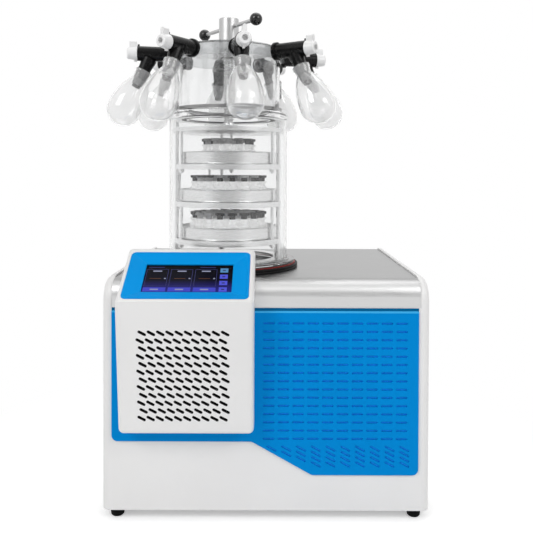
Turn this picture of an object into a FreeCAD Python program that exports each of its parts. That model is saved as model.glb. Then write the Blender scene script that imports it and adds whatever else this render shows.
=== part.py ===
# Benchtop freeze dryer with a stoppering chamber and an eight-port manifold.
#
# Frame: millimetres, +Z up, the front face looks along -Y, and the origin is the centre of the
# whole object's footprint on the surface that it stands on.  Formulas below place each piece from
# the cabinet's own corner: X from the cabinet's middle, Y from its front face.
import FreeCAD, Part
import Sketcher
import math
import os
import re

# ---------------------------------------------------------------------------------------------
# Driving dimensions
# ---------------------------------------------------------------------------------------------
SIZES = [
    # cabinet
    ("cabinet_width", 600, "outside, side to side"),
    ("cabinet_depth", 480, "front face to rear panel"),
    ("cabinet_bottom", 18, "height of the cabinet's lower edge"),
    ("deck_height", 440, "top of the steel deck"),
    ("rim_width", 18, "side rims beside the deck"),
    ("rim_rise", 3, "side rims above the deck"),
    ("rim_depth", 35, "height of the solid rim bars"),
    ("rim_round", 45, "top front corner of the side rims"),
    ("edge_round", 15, "upright front corners of the wrap"),
    ("edge_margin", 1, "tools run that far past the faces they cut"),
    ("wrap_wall", 3, "wall of the moulded wrap"),
    ("sheet_wall", 2, "steel sheet"),
    ("deck_roll", 30, "rolled front edge of the deck"),
    ("deck_front", 50, "from the deck's top down to the lower edge of its front"),
    ("deck_foot", 12, "foot folded back under the deck's front"),
    ("panel_gap", 0.3, "clearance beside sheets that slide in"),
    ("foot_radius", 14, "rubber foot"),
    ("foot_inset_x", 25, "foot centre from the cabinet's side"),
    ("foot_inset_y", 22, "foot centre from front and rear"),
    ("foot_sole", 10, "radius of its sole"),
    ("foot_bevel", 12, "radius above the sole's bevel"),
    ("foot_bevel_height", 2, "height of that bevel"),
    # blue front panel
    ("louvre_left", -281, "left edge"),
    ("louvre_right", 278, "right edge"),
    ("louvre_drop", 0.6, "top edge below the deck's front"),
    ("louvre_lip", 145.7, "lower edge on the left"),
    ("louvre_low", 84.7, "lower edge on the right"),
    ("louvre_step_x", -26, "where the lower edge starts to slope"),
    ("louvre_step_run", 110, "length of the sloping edge, across"),
    ("louvre_thick", 3, "sheet thickness"),
    ("louvre_corner", 11, "corner radius"),
    ("louvre_bend", 14, "rounding where the lower edge starts and stops sloping"),
    ("louvre_margin", 4, "panel that lies on the wrap outside its window"),
    ("louvre_step_in", 1.6, "recessed strip along the panel's top"),
    ("louvre_strip", 5.4, "height of that strip"),
    ("louvre_edge_round", 1.2, "the panel's edge below the strip"),
    ("louvre_left_slot", 5, "middle of the first column of slots"),
    ("louvre_first_drop", 27.4, "first row of slots below the top edge"),
    ("louvre_pitch_x", 26.9, "columns"),
    ("louvre_pitch_z", 15.06, "rows"),
    ("louvre_slot_length", 20.4, "slot, end to end"),
    ("louvre_slot_width", 3.3, "slot height"),
    ("slant_angle", 28, "slope of the slanted slots"),
    ("slant_shift", 5.5, "slanted slots to the right of the level ones"),
    ("slant_length", 19.5, "slanted slot, end to end"),
    ("slant_first_row", 133.2, "first row of slanted slots"),
    ("slant_pitch_z", 9.6, "rows of slanted slots"),
    ("filter_thick", 10, "filter mat behind the louvres"),
    # console
    ("console_left", -261, "left side"),
    ("console_width", 240, "side to side"),
    ("console_bottom", 173, "lower edge"),
    ("console_foot_out", 40, "how far the lower edge stands out"),
    ("console_brow_out", 70, "how far the upper front edge stands out"),
    ("console_brow_drop", 26, "upper front edge below the deck"),
    ("console_peak_rise", 50, "top above the deck"),
    ("console_peak_in", 50, "top edge behind the front face"),
    ("console_back", 34, "rear foot on the deck"),
    ("console_kink_rise", 28, "where its back leans forward to that foot, above the deck"),
    ("console_wall", 3.5, "moulded wall"),
    ("console_round", 9, "outer edges"),
    ("console_corner", 10, "lower corners, seen from the front"),
    ("brow_lean", 0.6, "share of the wall that the upper front edge moves down inside"),
    ("cutter_past", 5, "tools run that far past the console's front"),
    ("slot_pitch_x", 16, "console slots, columns"),
    ("slot_pitch_z", 14.1, "console slots, rows"),
    ("slot_shift", 3.8, "offset of every other row"),
    ("slot_length", 15, "slot, end to end"),
    ("slot_width", 4, "slot across"),
    ("slot_left", 43, "first column from the console's left side"),
    ("slot_low", 30, "first row above the console's lower edge"),
    ("bezel_side", 9, "bezel to the console's sides"),
    ("bezel_low", 7, "bezel to the lower edge of the sloping face"),
    ("bezel_high", 9.8, "bezel to the upper edge of the sloping face"),
    ("bezel_thick", 9, "depth of the bezel"),
    ("bezel_corner", 9, "corner radius"),
    ("bezel_lip", 4, "flat edge round the bezel"),
    ("screen_width", 160, "visible screen"),
    ("screen_height", 96, "visible screen"),
    ("screen_low", 12, "screen above the bezel's lower edge"),
    ("screen_thick", 6, "display module"),
    ("screen_side", 4, "display's dark edge beside the picture"),
    ("screen_edge", 3, "display's dark edge above and below"),
    ("slope_gap", 0.5, "bezel and display above the seat on the console"),
    # cold trap
    ("chamber_x", -81, "axis of trap and chamber"),
    ("chamber_y", 185, "axis of trap and chamber"),
    ("trap_radius", 107, "inside"),
    ("trap_depth", 180, "inside, below the deck"),
    ("trap_wall", 1.5, "stainless wall"),
    ("trap_flange", 126, "outer radius of the rim"),
    ("trap_corner", 10, "rounding of its floor"),
    ("insulation_thick", 34, "foam round the trap"),
    ("coil_tube", 4.5, "radius of the refrigerant tube"),
    ("coil_pitch", 16, "turn to turn"),
    ("coil_turns", 10, "turns of the tube"),
    ("coil_play", 0.2, "between the tube and the trap"),
    ("coil_header", 4, "radius of the upright header"),
    # chamber
    ("gasket_radius", 145, "black deck gasket"),
    ("gasket_thick", 8, "black deck gasket"),
    ("gasket_bore", 114, "black deck gasket"),
    ("gasket_lobe", 1.3, "depth of the groove between its two beads"),
    ("seal_radius", 140, "red seal"),
    ("seal_thick", 1.5, "red seal"),
    ("base_radius", 138, "clear base ring"),
    ("base_thick", 6, "clear base ring"),
    ("base_edge", 1.5, "chamfer of the base ring"),
    ("base_bore", 104, "clear base ring"),
    ("register_width", 4, "raised ring round the tube's foot"),
    ("register_height", 3, "raised ring round the tube's foot"),
    ("tube_radius", 122.5, "lower acrylic tube, outside"),
    ("tube_wall", 5, "acrylic wall"),
    ("tube_height", 287, "lower acrylic tube"),
    ("flange_seal", 3.5, "black seal in the flange's underside"),
    ("flange_thick", 16, "clear flange under the drum"),
    ("flange_radius", 124, "clear flange under the drum"),
    ("flange_bore", 84, "clear flange's bore"),
    ("flange_seal_radius", 93, "middle of the black seal"),
    ("flange_seal_width", 10, "black seal"),
    ("seal_room", 0.2, "groove beside the seal"),
    ("flange_edge", 2, "chamfer of the flange"),
    ("collar_radius", 112, "steel collar"),
    ("collar_thick", 8, "steel collar"),
    ("drum_radius", 107, "upper acrylic drum, outside"),
    ("drum_height", 98, "upper acrylic drum"),
    ("head_radius", 109, "translucent manifold head"),
    ("head_height", 26, "translucent manifold head"),
    ("head_wall", 4, "translucent manifold head"),
    ("head_edge", 3, "chamfer of the head"),
    # racks
    ("shelf_radius", 110, "shelf plates"),
    ("shelf_thick", 10.5, "shelf plates"),
    ("shelf_low", 61, "lowest shelf's top above the deck"),
    ("shelf_pitch", 75.5, "shelf to shelf"),
    ("tray_radius", 100, "trays, outside"),
    ("tray_height", 25, "trays"),
    ("tray_wall", 1, "trays"),
    ("tray_corner", 3, "rounding of the tray's floor"),
    ("vial_radius", 11, "vial"),
    ("vial_body", 26, "vial up to its shoulder"),
    ("vial_height", 40, "vial"),
    ("vial_neck", 6.5, "vial's neck radius"),
    ("vial_mouth", 9.8, "vial's lip radius"),
    ("vial_shoulder", 5, "height of the shoulder"),
    ("vial_lip", 4, "lip"),
    ("vial_play", 0.5, "stopper inside the neck"),
    ("vial_pitch", 23.4, "ring to ring"),
    ("stopper_radius", 9.6, "stopper's flange"),
    ("stopper_flange", 5, "stopper's flange thickness"),
    ("stopper_lift", 7, "how far a stopper stands up before it is pressed home"),
    ("press_travel", 11.5, "how far each gap between shelves closes"),
    ("press_left", 0.5, "gap left over the stoppers at the end of the travel"),
    ("press_radius", 116, "press plate"),
    ("press_thick", 8, "press plate"),
    ("guide_radius", 4, "guide rods"),
    ("guide_circle", 108, "circle of the guide rods"),
    ("guide_gap", 0.5, "clearance round a rod"),
    ("sleeve_radius", 7, "spacer sleeves under the lowest shelf"),
    ("hanger_radius", 3, "hanger rods"),
    ("hanger_circle", 104.5, "circle of the hanger rods"),
    ("nut_radius", 5.5, "hanger nuts"),
    ("nut_thick", 5, "hanger nuts"),
    ("rod_end", 3, "hanger rods below their nuts"),
    ("rack_ring_thick", 4, "ring that carries the rack"),
    ("rack_ring_inset", 12, "ring's bore inside the trap's wall"),
    ("rod_top", 6, "guide rods end below the tube's top"),
    # press
    ("screw_radius", 11, "press screw"),
    ("screw_foot_radius", 20, "foot of the press screw"),
    ("screw_foot_thick", 10, "foot of the press screw"),
    ("foot_step", 6, "foot's wide part"),
    ("foot_step_in", 5, "step of the foot"),
    ("foot_boss", 4, "boss above the foot"),
    ("screw_end", 8, "screw's end below the hub's top"),
    ("screw_gap", 0.3, "clearance round the screw"),
    ("hub_radius", 20.5, "turning hub"),
    ("hub_height", 64, "turning hub"),
    ("hub_gap", 0.4, "hub above the head"),
    ("hub_edge", 1.5, "hub's chamfer"),
    ("hub_recess", 6, "hollow in the hub's top"),
    ("gland_rise", 8, "gland's lower end above the head's lower edge"),
    ("bar_radius", 4, "T-bar"),
    ("bar_root", 4, "T-bar inside the hub"),
    ("ball_socket", 6.25, "T-bar's end from the ball's centre"),
    ("bar_reach", 97.5, "ball centres from the axis"),
    ("bar_height", 46, "T-bar above the hub's foot"),
    ("bar_angle", 36.8, "turn of the T-bar"),
    ("ball_radius", 12.5, "ball knobs"),
    # manifold ports
    ("port_count", 8, "ports round the head"),
    ("port_angle", 11.7, "first port from the front"),
    ("stub_radius", 9, "port stub"),
    ("stub_reach", 128, "end of a stub from the axis"),
    ("barrel_root", 116, "inner end of a valve"),
    ("barrel_end", 188, "outer end of a valve"),
    ("barrel_radius", 15, "valve barrel"),
    ("barrel_collar", 18, "collar at the inner end"),
    ("barrel_collar_thick", 6, "collar at the inner end"),
    ("valve_bore", 5, "passage through the valve"),
    ("stub_play", 1, "valve beyond the end of its stub"),
    ("slip", 0.05, "clearance of pushed-on rubber and glass"),
    ("outlet_place", 158, "outlet from the chamber's axis"),
    ("outlet_tilt", 26, "outlet from upright"),
    ("outlet_radius", 13, "valve outlet"),
    ("outlet_root", 15.5, "valve outlet where it leaves the barrel"),
    ("outlet_start", 12, "outlet's root below the barrel's axis"),
    ("outlet_step", 20, "where its passage narrows"),
    ("outlet_length", 38, "valve outlet, from the barrel's axis"),
    ("outlet_skirt", 6, "straight end of the outlet"),
    ("spigot_radius", 6, "tube through the ground joint"),
    ("spigot_end", 77, "end of that tube"),
    ("tip_radius", 8.5, "rubber tip on the tube"),
    ("tip_length", 5, "rubber tip on the tube"),
    ("nib_inset", 3, "pointer pip before the barrel's end"),
    ("nib_radius", 2, "pointer pip"),
    ("nib_height", 4.5, "pointer pip"),
    ("plug_radius", 8, "valve plug"),
    ("plug_depth", 13, "plug inside the barrel"),
    ("plug_gap", 0.3, "clearance round the plug"),
    ("knob_radius", 14.2, "plug's knob"),
    ("knob_taper", 2.5, "knob's outer end is that much smaller"),
    ("knob_length", 20, "plug's knob"),
    ("knob_hole", 5.5, "vent hole in the knob"),
    ("knob_hole_depth", 11, "vent hole in the knob"),
    ("knob_gap", 0.4, "knob beyond the barrel's end"),
    ("knob_edge", 3, "chamfer of the knob's end"),
    ("wing_radius", 26, "reach of the knob's wing"),
    ("wing_width", 8, "knob's wing"),
    ("wing_length", 15, "knob's wing, along the plug"),
    ("pip_radius", 17, "reach of the knob's pointer"),
    ("pip_width", 4, "knob's pointer"),
    ("wing_root", 4, "wing and pointer inside the knob"),
    ("wing_arc", 1.02, "wing's end arc to its half width"),
    ("pip_length", 6, "knob's pointer, along the plug"),
    # flasks
    ("joint_top", 38.3, "ground joint's upper end along the outlet"),
    ("joint_end", 71, "ground joint's lower end"),
    ("joint_wide", 15, "ground joint's upper radius"),
    ("joint_narrow", 10.5, "ground joint's lower radius"),
    ("joint_gap", 0.1, "flask round the ground joint"),
    ("flask_wall", 2, "glass"),
    ("flask_rim", 17.4, "rim bead"),
    ("flask_rim_thick", 4, "rim bead"),
    ("joint_mouth", 0.5, "flask's mouth below the joint's top"),
    ("flask_neck_end", 56, "neck's lower end along the outlet"),
    ("bulb_place", 126, "bulb's centre along the outlet"),
    ("bulb_radius", 35, "bulb"),
    # refrigeration
    ("compressor_x", 165, "compressor's axis"),
    ("compressor_y", 330, "compressor's axis"),
    ("compressor_radius", 88, "shell"),
    ("compressor_height", 205, "shell"),
    ("compressor_stand", 22, "shell above the base pan"),
    ("compressor_round", 40, "rounding of the shell"),
    ("compressor_seam", 119, "weld lip above the shell's foot"),
    ("compressor_lip", 5, "weld lip"),
    ("compressor_step", 2, "upper half smaller than the lower"),
    ("foot_plate_radius", 79, "plate under the compressor"),
    ("foot_plate_low", 6, "plate's lower face under the shell"),
    ("foot_plate_thick", 8, "plate under the compressor"),
    ("compressor_feet", 4, "rubber feet"),
    ("compressor_foot_radius", 9, "rubber foot"),
    ("compressor_foot_circle", 63.4, "circle of the feet"),
    ("condenser_x", 188, "middle"),
    ("condenser_y", 22, "front face"),
    ("condenser_width", 196, "side to side"),
    ("condenser_thick", 44, "front to back"),
    ("condenser_height", 220, "fin block"),
    ("condenser_stand", 120, "fin block above the floor"),
    ("core_inset", 6, "tube block behind the fins' edges"),
    ("core_margin", 4, "tube block from the fins' ends"),
    ("fin_thick", 2, "fin"),
    ("fin_count", 25, "fins"),
    ("fan_radius", 88, "blade tips"),
    ("fan_hub", 24, "hub"),
    ("fan_gap", 5, "tips to shroud"),
    ("shroud_thick", 22, "shroud"),
    ("shroud_plate", 2, "plate and lip of the shroud"),
    ("arm_thick", 4, "motor's arms"),
    ("arm_half_width", 5, "motor's arms"),
    ("motor_radius", 30, "fan motor"),
    ("motor_length", 38, "fan motor"),
    ("shaft_radius", 3, "motor's shaft"),
    ("shaft_length", 16, "motor's shaft"),
    ("fan_place", 4, "blades behind the shroud's plate"),
    ("fan_hub_length", 14, "hub"),
    ("vane_count", 5, "blades"),
    ("vane_reach", 14, "half of a blade's width"),
    ("vane_low", 1, "leading edge from the hub's end"),
    ("vane_rise", 12, "pitch of a blade"),
    ("vane_thick", 2, "blade"),
    ("vane_root", 2, "blade inside the hub"),
    ("pump_port_x", -190, "vacuum port"),
    ("pump_port_z", 190, "vacuum port"),
    ("pump_port_bore", 12.5, "vacuum port's inside radius"),
    ("pump_port_wall", 1.5, "vacuum port"),
    ("pump_port_flange", 20, "small flange's radius"),
    ("pump_port_reach", 40, "vacuum port behind the rear panel"),
    ("pump_port_inside", 40, "vacuum port inside the cabinet"),
    ("port_plate_thick", 3, "plate behind the panel"),
    ("port_plate_margin", 10, "plate round the pipe"),
    ("pump_flange_thick", 3, "small flange"),
    ("drain_x", 225, "drain valve"),
    ("drain_z", 60, "drain valve"),
    ("drain_bore", 4, "drain passage"),
    ("drain_body", 10, "drain valve body"),
    ("drain_reach", 38, "drain valve behind the rear panel"),
    ("drain_tail", 7, "threaded tail's radius"),
    ("drain_tail_length", 16, "threaded tail"),
    ("drain_nut", 9.5, "nut's radius"),
    ("drain_nut_thick", 4, "nut"),
    ("drain_slope", 2, "slopes of the valve body"),
    ("drain_body_end", 20, "valve body behind the panel"),
    ("drain_neck", 6, "hose end's neck"),
    ("drain_barb", 7.2, "hose barb"),
    ("drain_barb_length", 6, "hose barb"),
    ("drain_mouth", 5.5, "hose end's mouth"),
    ("lever_place", 13, "lever's stem behind the panel"),
    ("lever_stem", 3.5, "stem's radius"),
    ("lever_stem_height", 5, "stem"),
    ("lever_rise", 4, "lever above the valve body"),
    ("lever_hub", 6, "lever's round end"),
    ("lever_tip", 4, "lever's tip, half its width"),
    ("lever_length", 36, "lever"),
    ("lever_thick", 2.5, "lever"),
    ("arc_ease", 0.1, "keeps an end arc just under a half circle"),
    ("inlet_x", 220, "mains inlet"),
    ("inlet_z", 190, "mains inlet"),
    ("air_slot_left", 75, "first rear air slot"),
    ("air_slot_low", 250, "first rear air slot"),
    ("air_slot_length", 80, "rear air slot"),
    ("air_slot_width", 5, "rear air slot"),
    ("air_slot_pitch_x", 100, "columns"),
    ("air_slot_pitch_z", 14, "rows"),
    ("air_slot_rows", 9, "rear air slots, rows"),
    ("air_slot_columns", 2, "rear air slots, columns"),
    ("module_half", 31, "inlet module, half its width"),
    ("module_high", 16, "inlet module, half its height"),
    ("module_lip", 3, "inlet module's lip outside the panel"),
    ("module_depth", 21, "inlet module behind the panel's outside"),
    ("module_round", 3, "lip's corners"),
    ("module_frame", 4, "lip round the housing"),
    ("weld", 0.5, "how far joined forms of one piece run into each other"),
    ("pin_half_width", 1, "inlet's blades"),
    ("pin_half_height", 2, "inlet's blades"),
    ("pin_rise", 2, "outer blades above the middle"),
    ("pin_drop", 3, "middle blade below the middle"),
    ("pin_recess", 5, "blades behind the well's mouth"),
    ("well_left", -24, "inlet well's left edge from the module's middle"),
    ("well_width", 24, "inlet well"),
    ("well_high", 8, "inlet well, half its height"),
    ("rocker_x", 14, "rocker from the module's middle"),
    ("rocker_half_width", 8, "rocker"),
    ("rocker_half_length", 10.4, "rocker"),
    ("rocker_swing", 10, "rocker's tilt from its middle"),
    ("rocker_play", 1.6, "seat beyond the rocker's ends"),
    ("rocker_floor", 2, "seat's floor"),
    ("rocker_base", 5, "rocker below the panel's lip"),
    ("rocker_drop", 3, "rocker's ends below its pivot"),
    ("rocker_proud", 0.6, "rocker's ends above the lip"),
    ("rocker_dip", 0.8, "rocker's middle below the lip"),
]
NAMES = {name for name, number, meaning in SIZES}

document = FreeCAD.newDocument("FreezeDryer")
sheet = document.addObject("Spreadsheet::Sheet", "Dims")
for line, (name, number, meaning) in enumerate(SIZES, start=1):
    sheet.set(f"A{line}", name)
    sheet.set(f"B{line}", str(number))
    sheet.set(f"C{line}", meaning)
    sheet.setAlias(f"B{line}", name)
document.recompute()


LEVELS = {
    "deck_front_low": "deck_height - deck_front",
    "louvre_top": "deck_front_low - louvre_drop",
    "louvre_first_row": "louvre_top - louvre_first_drop",
    "console_brow": "deck_height - console_brow_drop",
    "console_peak": "deck_height + console_peak_rise",
    "console_kink": "deck_height + console_kink_rise",
    "tube_low": "deck_height + trap_wall + gasket_thick + seal_thick + base_thick",
    "tube_top": "tube_low + tube_height",
}


def spell(formula):
    """The same formula with every size pointed at its cell and every level written out."""
    def word_for(match):
        word = match.group()
        if word in LEVELS:
            return f"({spell(LEVELS[word])})"
        return f"Dims.{word}" if word in NAMES else word

    return re.sub(r"[a-z][a-z_0-9]*", word_for, str(formula))


def number(formula):
    """What a formula of sizes comes to."""
    return float(sheet.evalExpression(spell(formula)))


def bind(thing, **formulas):
    """Ties properties to formulas; a double underscore stands for a dot."""
    for prop, formula in formulas.items():
        thing.setExpression(prop.replace("__", "."), spell(formula))


# ---------------------------------------------------------------------------------------------
# Levels and places that several pieces share
# ---------------------------------------------------------------------------------------------
BULB_REACH = "(outlet_place + bulb_place * sin(outlet_tilt))"
FLASK_SIDE = f"({BULB_REACH} * cos(port_angle) + bulb_radius)"
SHIFT_X = f"(-(cabinet_width / 2 + chamber_x - {FLASK_SIDE}) / 2)"
SHIFT_Y = "(-(cabinet_depth + pump_port_reach - console_brow_out) / 2)"
AXIS_X = f"({SHIFT_X} + chamber_x)"
AXIS_Y = f"({SHIFT_Y} + chamber_y)"

PAN_TOP = "(cabinet_bottom + sheet_wall)"
GASKET_LOW = "(deck_height + trap_wall)"
SEAL_LOW = f"({GASKET_LOW} + gasket_thick)"
BASE_LOW = f"({SEAL_LOW} + seal_thick)"
BASE_TOP = f"({BASE_LOW} + base_thick)"
FLANGE_LOW = "tube_top"
COLLAR_LOW = f"({FLANGE_LOW} + flange_thick)"
DRUM_LOW = f"({COLLAR_LOW} + collar_thick)"
HEAD_LOW = f"({DRUM_LOW} + drum_height)"
HEAD_TOP = f"({HEAD_LOW} + head_height)"
PORT_LEVEL = f"({HEAD_TOP} - barrel_radius)"
HUB_LOW = f"({HEAD_TOP} + hub_gap)"
HUB_TOP = f"({HUB_LOW} + hub_height)"
STOPPER_TOP = "(tray_wall + vial_height + stopper_lift + stopper_flange)"
SHELF_TOPS = {
    3: "(deck_height + shelf_low)",
    2: "(deck_height + shelf_low + shelf_pitch)",
    1: "(deck_height + shelf_low + 2 * shelf_pitch)",
}
PRESS_LOW = f"({SHELF_TOPS[1]} + {STOPPER_TOP} + press_travel + press_left)"
PRESS_TOP = f"({PRESS_LOW} + press_thick)"
RACK_TOP = f"({BASE_TOP} + rack_ring_thick)"
SLOPE = "atan((console_peak - console_brow) / (console_brow_out + console_peak_in))"
SLOPE_LENGTH = "sqrt((console_peak - console_brow)^2 + (console_brow_out + console_peak_in)^2)"
CONSOLE_X = "(console_left + console_width / 2)"

GUIDE_ANGLES = (-74, 72, 192)
HANGER_ANGLES = {1: (-60, 60, 180), 2: (-92, 88, 208), 3: (-60, 60, 180)}
VIAL_RINGS = {1: 2, 2: 3, 3: 3}
SLANTED_ROWS = (1, 2, 3, 4, 4, 4, 4, 4, 4, 4)


# ---------------------------------------------------------------------------------------------
# Ways of building
# ---------------------------------------------------------------------------------------------
def new_body(label, x="0", y="0", z="0"):
    """An empty body whose own origin is at the place given."""
    body = document.addObject("PartDesign::Body", label)
    body.Label = label
    if hasattr(body, "AllowCompound"):
        body.AllowCompound = True
    bind(body, Placement__Base__x=x, Placement__Base__y=y, Placement__Base__z=z)
    return body


def cabinet_body(label, z="0"):
    return new_body(label, SHIFT_X, SHIFT_Y, z)


def axis_body(label, z="0"):
    return new_body(label, AXIS_X, AXIS_Y, z)


def part_of_origin(body, role):
    return next(item for item in body.Origin.OriginFeatures if item.Role == role)


def new_sketch(body, plane, offset="0"):
    """A sketch on one of the body's own origin planes, moved along its normal by an offset."""
    sketch = body.newObject("Sketcher::SketchObject", "Sketch")
    sketch.AttachmentSupport = [(part_of_origin(body, plane), "")]
    sketch.MapMode = "FlatFace"
    if offset != "0":
        bind(sketch, AttachmentOffset__Base__z=offset)
    return sketch


def hold(sketch, curve, end, x, y):
    """Fixes one point of a sketch at a pair of formulas."""
    for kind, axis, formula in (("DistanceX", -2, x), ("DistanceY", -1, y)):
        if str(formula) == "0":
            sketch.addConstraint(Sketcher.Constraint("PointOnObject", curve, end, axis))
        else:
            index = sketch.addConstraint(
                Sketcher.Constraint(kind, -1, 1, curve, end, number(formula)))
            sketch.setExpression(f"Constraints[{index}]", spell(formula))


def arc_through(start, end, radius):
    """The short arc of a radius between two points; a positive radius turns left."""
    chord = end - start
    left = FreeCAD.Vector(-chord.y, chord.x, 0).normalize() * math.copysign(1, radius)
    rise = math.sqrt(max(radius ** 2 - chord.Length ** 2 / 4, 0))
    centre = (start + end) * 0.5 + left * rise
    first, last = (start, end) if radius > 0 else (end, start)
    angles = [math.atan2(point.y - centre.y, point.x - centre.x) for point in (first, last)]
    circle = Part.Circle(centre, FreeCAD.Vector(0, 0, 1), abs(radius))
    return Part.ArcOfCircle(circle, angles[0], angles[1])


def outline(sketch, points):
    """A closed outline through (x, y) corners; a third formula makes the edge that leaves a
    corner an arc of that radius, which turns left when it is positive."""
    corners = [FreeCAD.Vector(number(point[0]), number(point[1]), 0) for point in points]
    curves = []
    for place, point in enumerate(points):
        start, end = corners[place], corners[(place + 1) % len(points)]
        if len(point) == 3:
            radius = number(point[2])
            curve = sketch.addGeometry(arc_through(start, end, radius), False)
            index = sketch.addConstraint(Sketcher.Constraint("Radius", curve, abs(radius)))
            sketch.setExpression(f"Constraints[{index}]", f"abs({spell(point[2])})")
            curves.append((curve, 1, 2) if radius > 0 else (curve, 2, 1))
        else:
            curve = sketch.addGeometry(Part.LineSegment(start, end), False)
            curves.append((curve, 1, 2))
    for place, (curve, start, end) in enumerate(curves):
        following = curves[(place + 1) % len(curves)]
        sketch.addConstraint(
            Sketcher.Constraint("Coincident", curve, end, following[0], following[1]))
        hold(sketch, curve, start, points[place][0], points[place][1])


def circle(sketch, x, y, radius):
    centre = FreeCAD.Vector(number(x), number(y), 0)
    curve = sketch.addGeometry(
        Part.Circle(centre, FreeCAD.Vector(0, 0, 1), number(radius)), False)
    index = sketch.addConstraint(Sketcher.Constraint("Radius", curve, number(radius)))
    sketch.setExpression(f"Constraints[{index}]", spell(radius))
    if str(x) == "0" and str(y) == "0":
        sketch.addConstraint(Sketcher.Constraint("Coincident", curve, 3, -1, 1))
    else:
        hold(sketch, curve, 3, x, y)


def rectangle(sketch, x_low, y_low, x_high, y_high):
    outline(sketch, [(x_low, y_low), (x_high, y_low), (x_high, y_high), (x_low, y_high)])


def rounded_rectangle(sketch, x_low, y_low, x_high, y_high, radius):
    x_in, x_out = f"({x_low}) + {radius}", f"({x_high}) - {radius}"
    y_in, y_out = f"({y_low}) + {radius}", f"({y_high}) - {radius}"
    outline(sketch, [(x_in, y_low), (x_out, y_low, radius), (x_high, y_in), (x_high, y_out, radius),
                     (x_out, y_high), (x_in, y_high, radius), (x_low, y_out), (x_low, y_in, radius)])


def polar(radius, angle):
    """Place on a circle about the chamber's axis; angles start at the front and run towards +X."""
    return f"{radius} * sin({angle})", f"-({radius}) * cos({angle})"


def pad(body, sketch, length, midplane=False, back=False):
    feature = body.newObject("PartDesign::Pad", "Pad")
    feature.Profile = sketch
    bind(feature, Length=length)
    feature.Midplane = midplane
    feature.Reversed = back
    return feature


def pocket(body, sketch, length, midplane=False, back=False):
    """A cut; it must take material away, or the direction is wrong."""
    document.recompute()
    before = body.Tip.Shape.Volume
    feature = body.newObject("PartDesign::Pocket", "Pocket")
    feature.Profile = sketch
    bind(feature, Length=length)
    feature.Midplane = midplane
    feature.Reversed = back
    document.recompute()
    if feature.Shape.isNull() or feature.Shape.Volume >= before - 1e-3:
        raise ValueError(f"a pocket of {body.Label} cuts nothing")
    return feature


def revolve(body, sketch, axis=None):
    """A full turn about the body's Z axis, or about a construction line of the sketch."""
    feature = body.newObject("PartDesign::Revolution", "Revolution")
    feature.Profile = sketch
    feature.ReferenceAxis = axis or (part_of_origin(body, "Z_Axis"), [""])
    feature.Angle = 360
    return feature


def axis_line(sketch, x_start, y_start, x_end, y_end):
    """A construction line of a sketch, to turn a profile about."""
    curve = sketch.addGeometry(Part.LineSegment(
        FreeCAD.Vector(number(x_start), number(y_start), 0),
        FreeCAD.Vector(number(x_end), number(y_end), 0)), True)
    hold(sketch, curve, 1, x_start, y_start)
    hold(sketch, curve, 2, x_end, y_end)
    return sketch, ["Axis0"]


def turned(label, z, profile):
    """A body turned about the chamber's axis from (radius, height)."""
    body = axis_body(label, z)
    sketch = new_sketch(body, "XZ_Plane")
    outline(sketch, profile)
    revolve(body, sketch)
    return body


def ring(label, z, inner, outer, height):
    return turned(label, z, [(inner, "0"), (outer, "0"), (outer, height), (inner, height)])


def polar_pattern(body, features, count):
    feature = body.newObject("PartDesign::PolarPattern", "PolarPattern")
    feature.Originals = features
    feature.Axis = (part_of_origin(body, "Z_Axis"), [""])
    feature.Angle = 360
    bind(feature, Occurrences=count)
    body.Tip = feature
    return feature


def linear_pattern(body, features, direction, step, count, second=None):
    """A row of copies, or a grid when a second (direction, step, count) is given."""
    feature = body.newObject("PartDesign::LinearPattern", "LinearPattern")
    feature.Originals = features
    feature.Direction = (part_of_origin(body, direction), [""])
    feature.Mode = "Spacing"
    bind(feature, Offset=step)
    feature.Occurrences = int(number(count))
    if second:
        feature.Direction2 = (part_of_origin(body, second[0]), [""])
        feature.Mode2 = "Extent"
        bind(feature, Length2=f"({second[1]}) * ({second[2]} - 1)")
        feature.Occurrences2 = int(number(second[2]))
    body.Tip = feature
    return feature


def edges_where(feature, test):
    document.recompute()
    return [f"Edge{index}" for index, edge in enumerate(feature.Shape.Edges, start=1)
            if test(edge)]


def fillet(body, feature, edges, radius):
    rounding = body.newObject("PartDesign::Fillet", "Fillet")
    rounding.Base = (feature, edges)
    bind(rounding, Radius=radius)
    document.recompute()
    return rounding


# ---------------------------------------------------------------------------------------------
# Cabinet
# ---------------------------------------------------------------------------------------------
def make_outer_wrap():
    """Moulded wrap: skirt, front and both sides in one, with solid rims beside the deck."""
    body = cabinet_body("outer_wrap")
    side = new_sketch(body, "YZ_Plane")
    rim_top = "deck_height + rim_rise"
    outline(side, [("0", "cabinet_bottom"), ("cabinet_depth", "cabinet_bottom"),
                   ("cabinet_depth", rim_top), ("rim_round", rim_top, "rim_round"),
                   ("0", f"{rim_top} - rim_round")])
    block = pad(body, side, "cabinet_width", midplane=True)
    half = number("cabinet_width") / 2
    shoulder = number("cabinet_bottom") + 1

    def outer_corner(edge):
        box = edge.BoundBox
        on_side = abs(abs(box.XMin) - half) < 0.01 and box.XLength < 0.01
        return on_side and box.ZMax > shoulder and box.YMin < number("cabinet_depth") - 1

    fillet(body, block, edges_where(block, outer_corner), "edge_round")
    inside = new_sketch(body, "XY_Plane")
    bay(inside, "0", "edge_margin")
    pocket(body, inside, f"{rim_top} - rim_depth", back=True)
    top = new_sketch(body, "XY_Plane", f"{rim_top} + edge_margin")
    rectangle(top, "-cabinet_width / 2 + rim_width", "-edge_margin",
              "cabinet_width / 2 - rim_width", "cabinet_depth + edge_margin")
    pocket(body, top, f"{rim_top} + edge_margin - deck_front_low")
    window = new_sketch(body, "XZ_Plane")
    window_outline(window, "0")
    pocket(body, window, "2 * wrap_wall", midplane=True)


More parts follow.
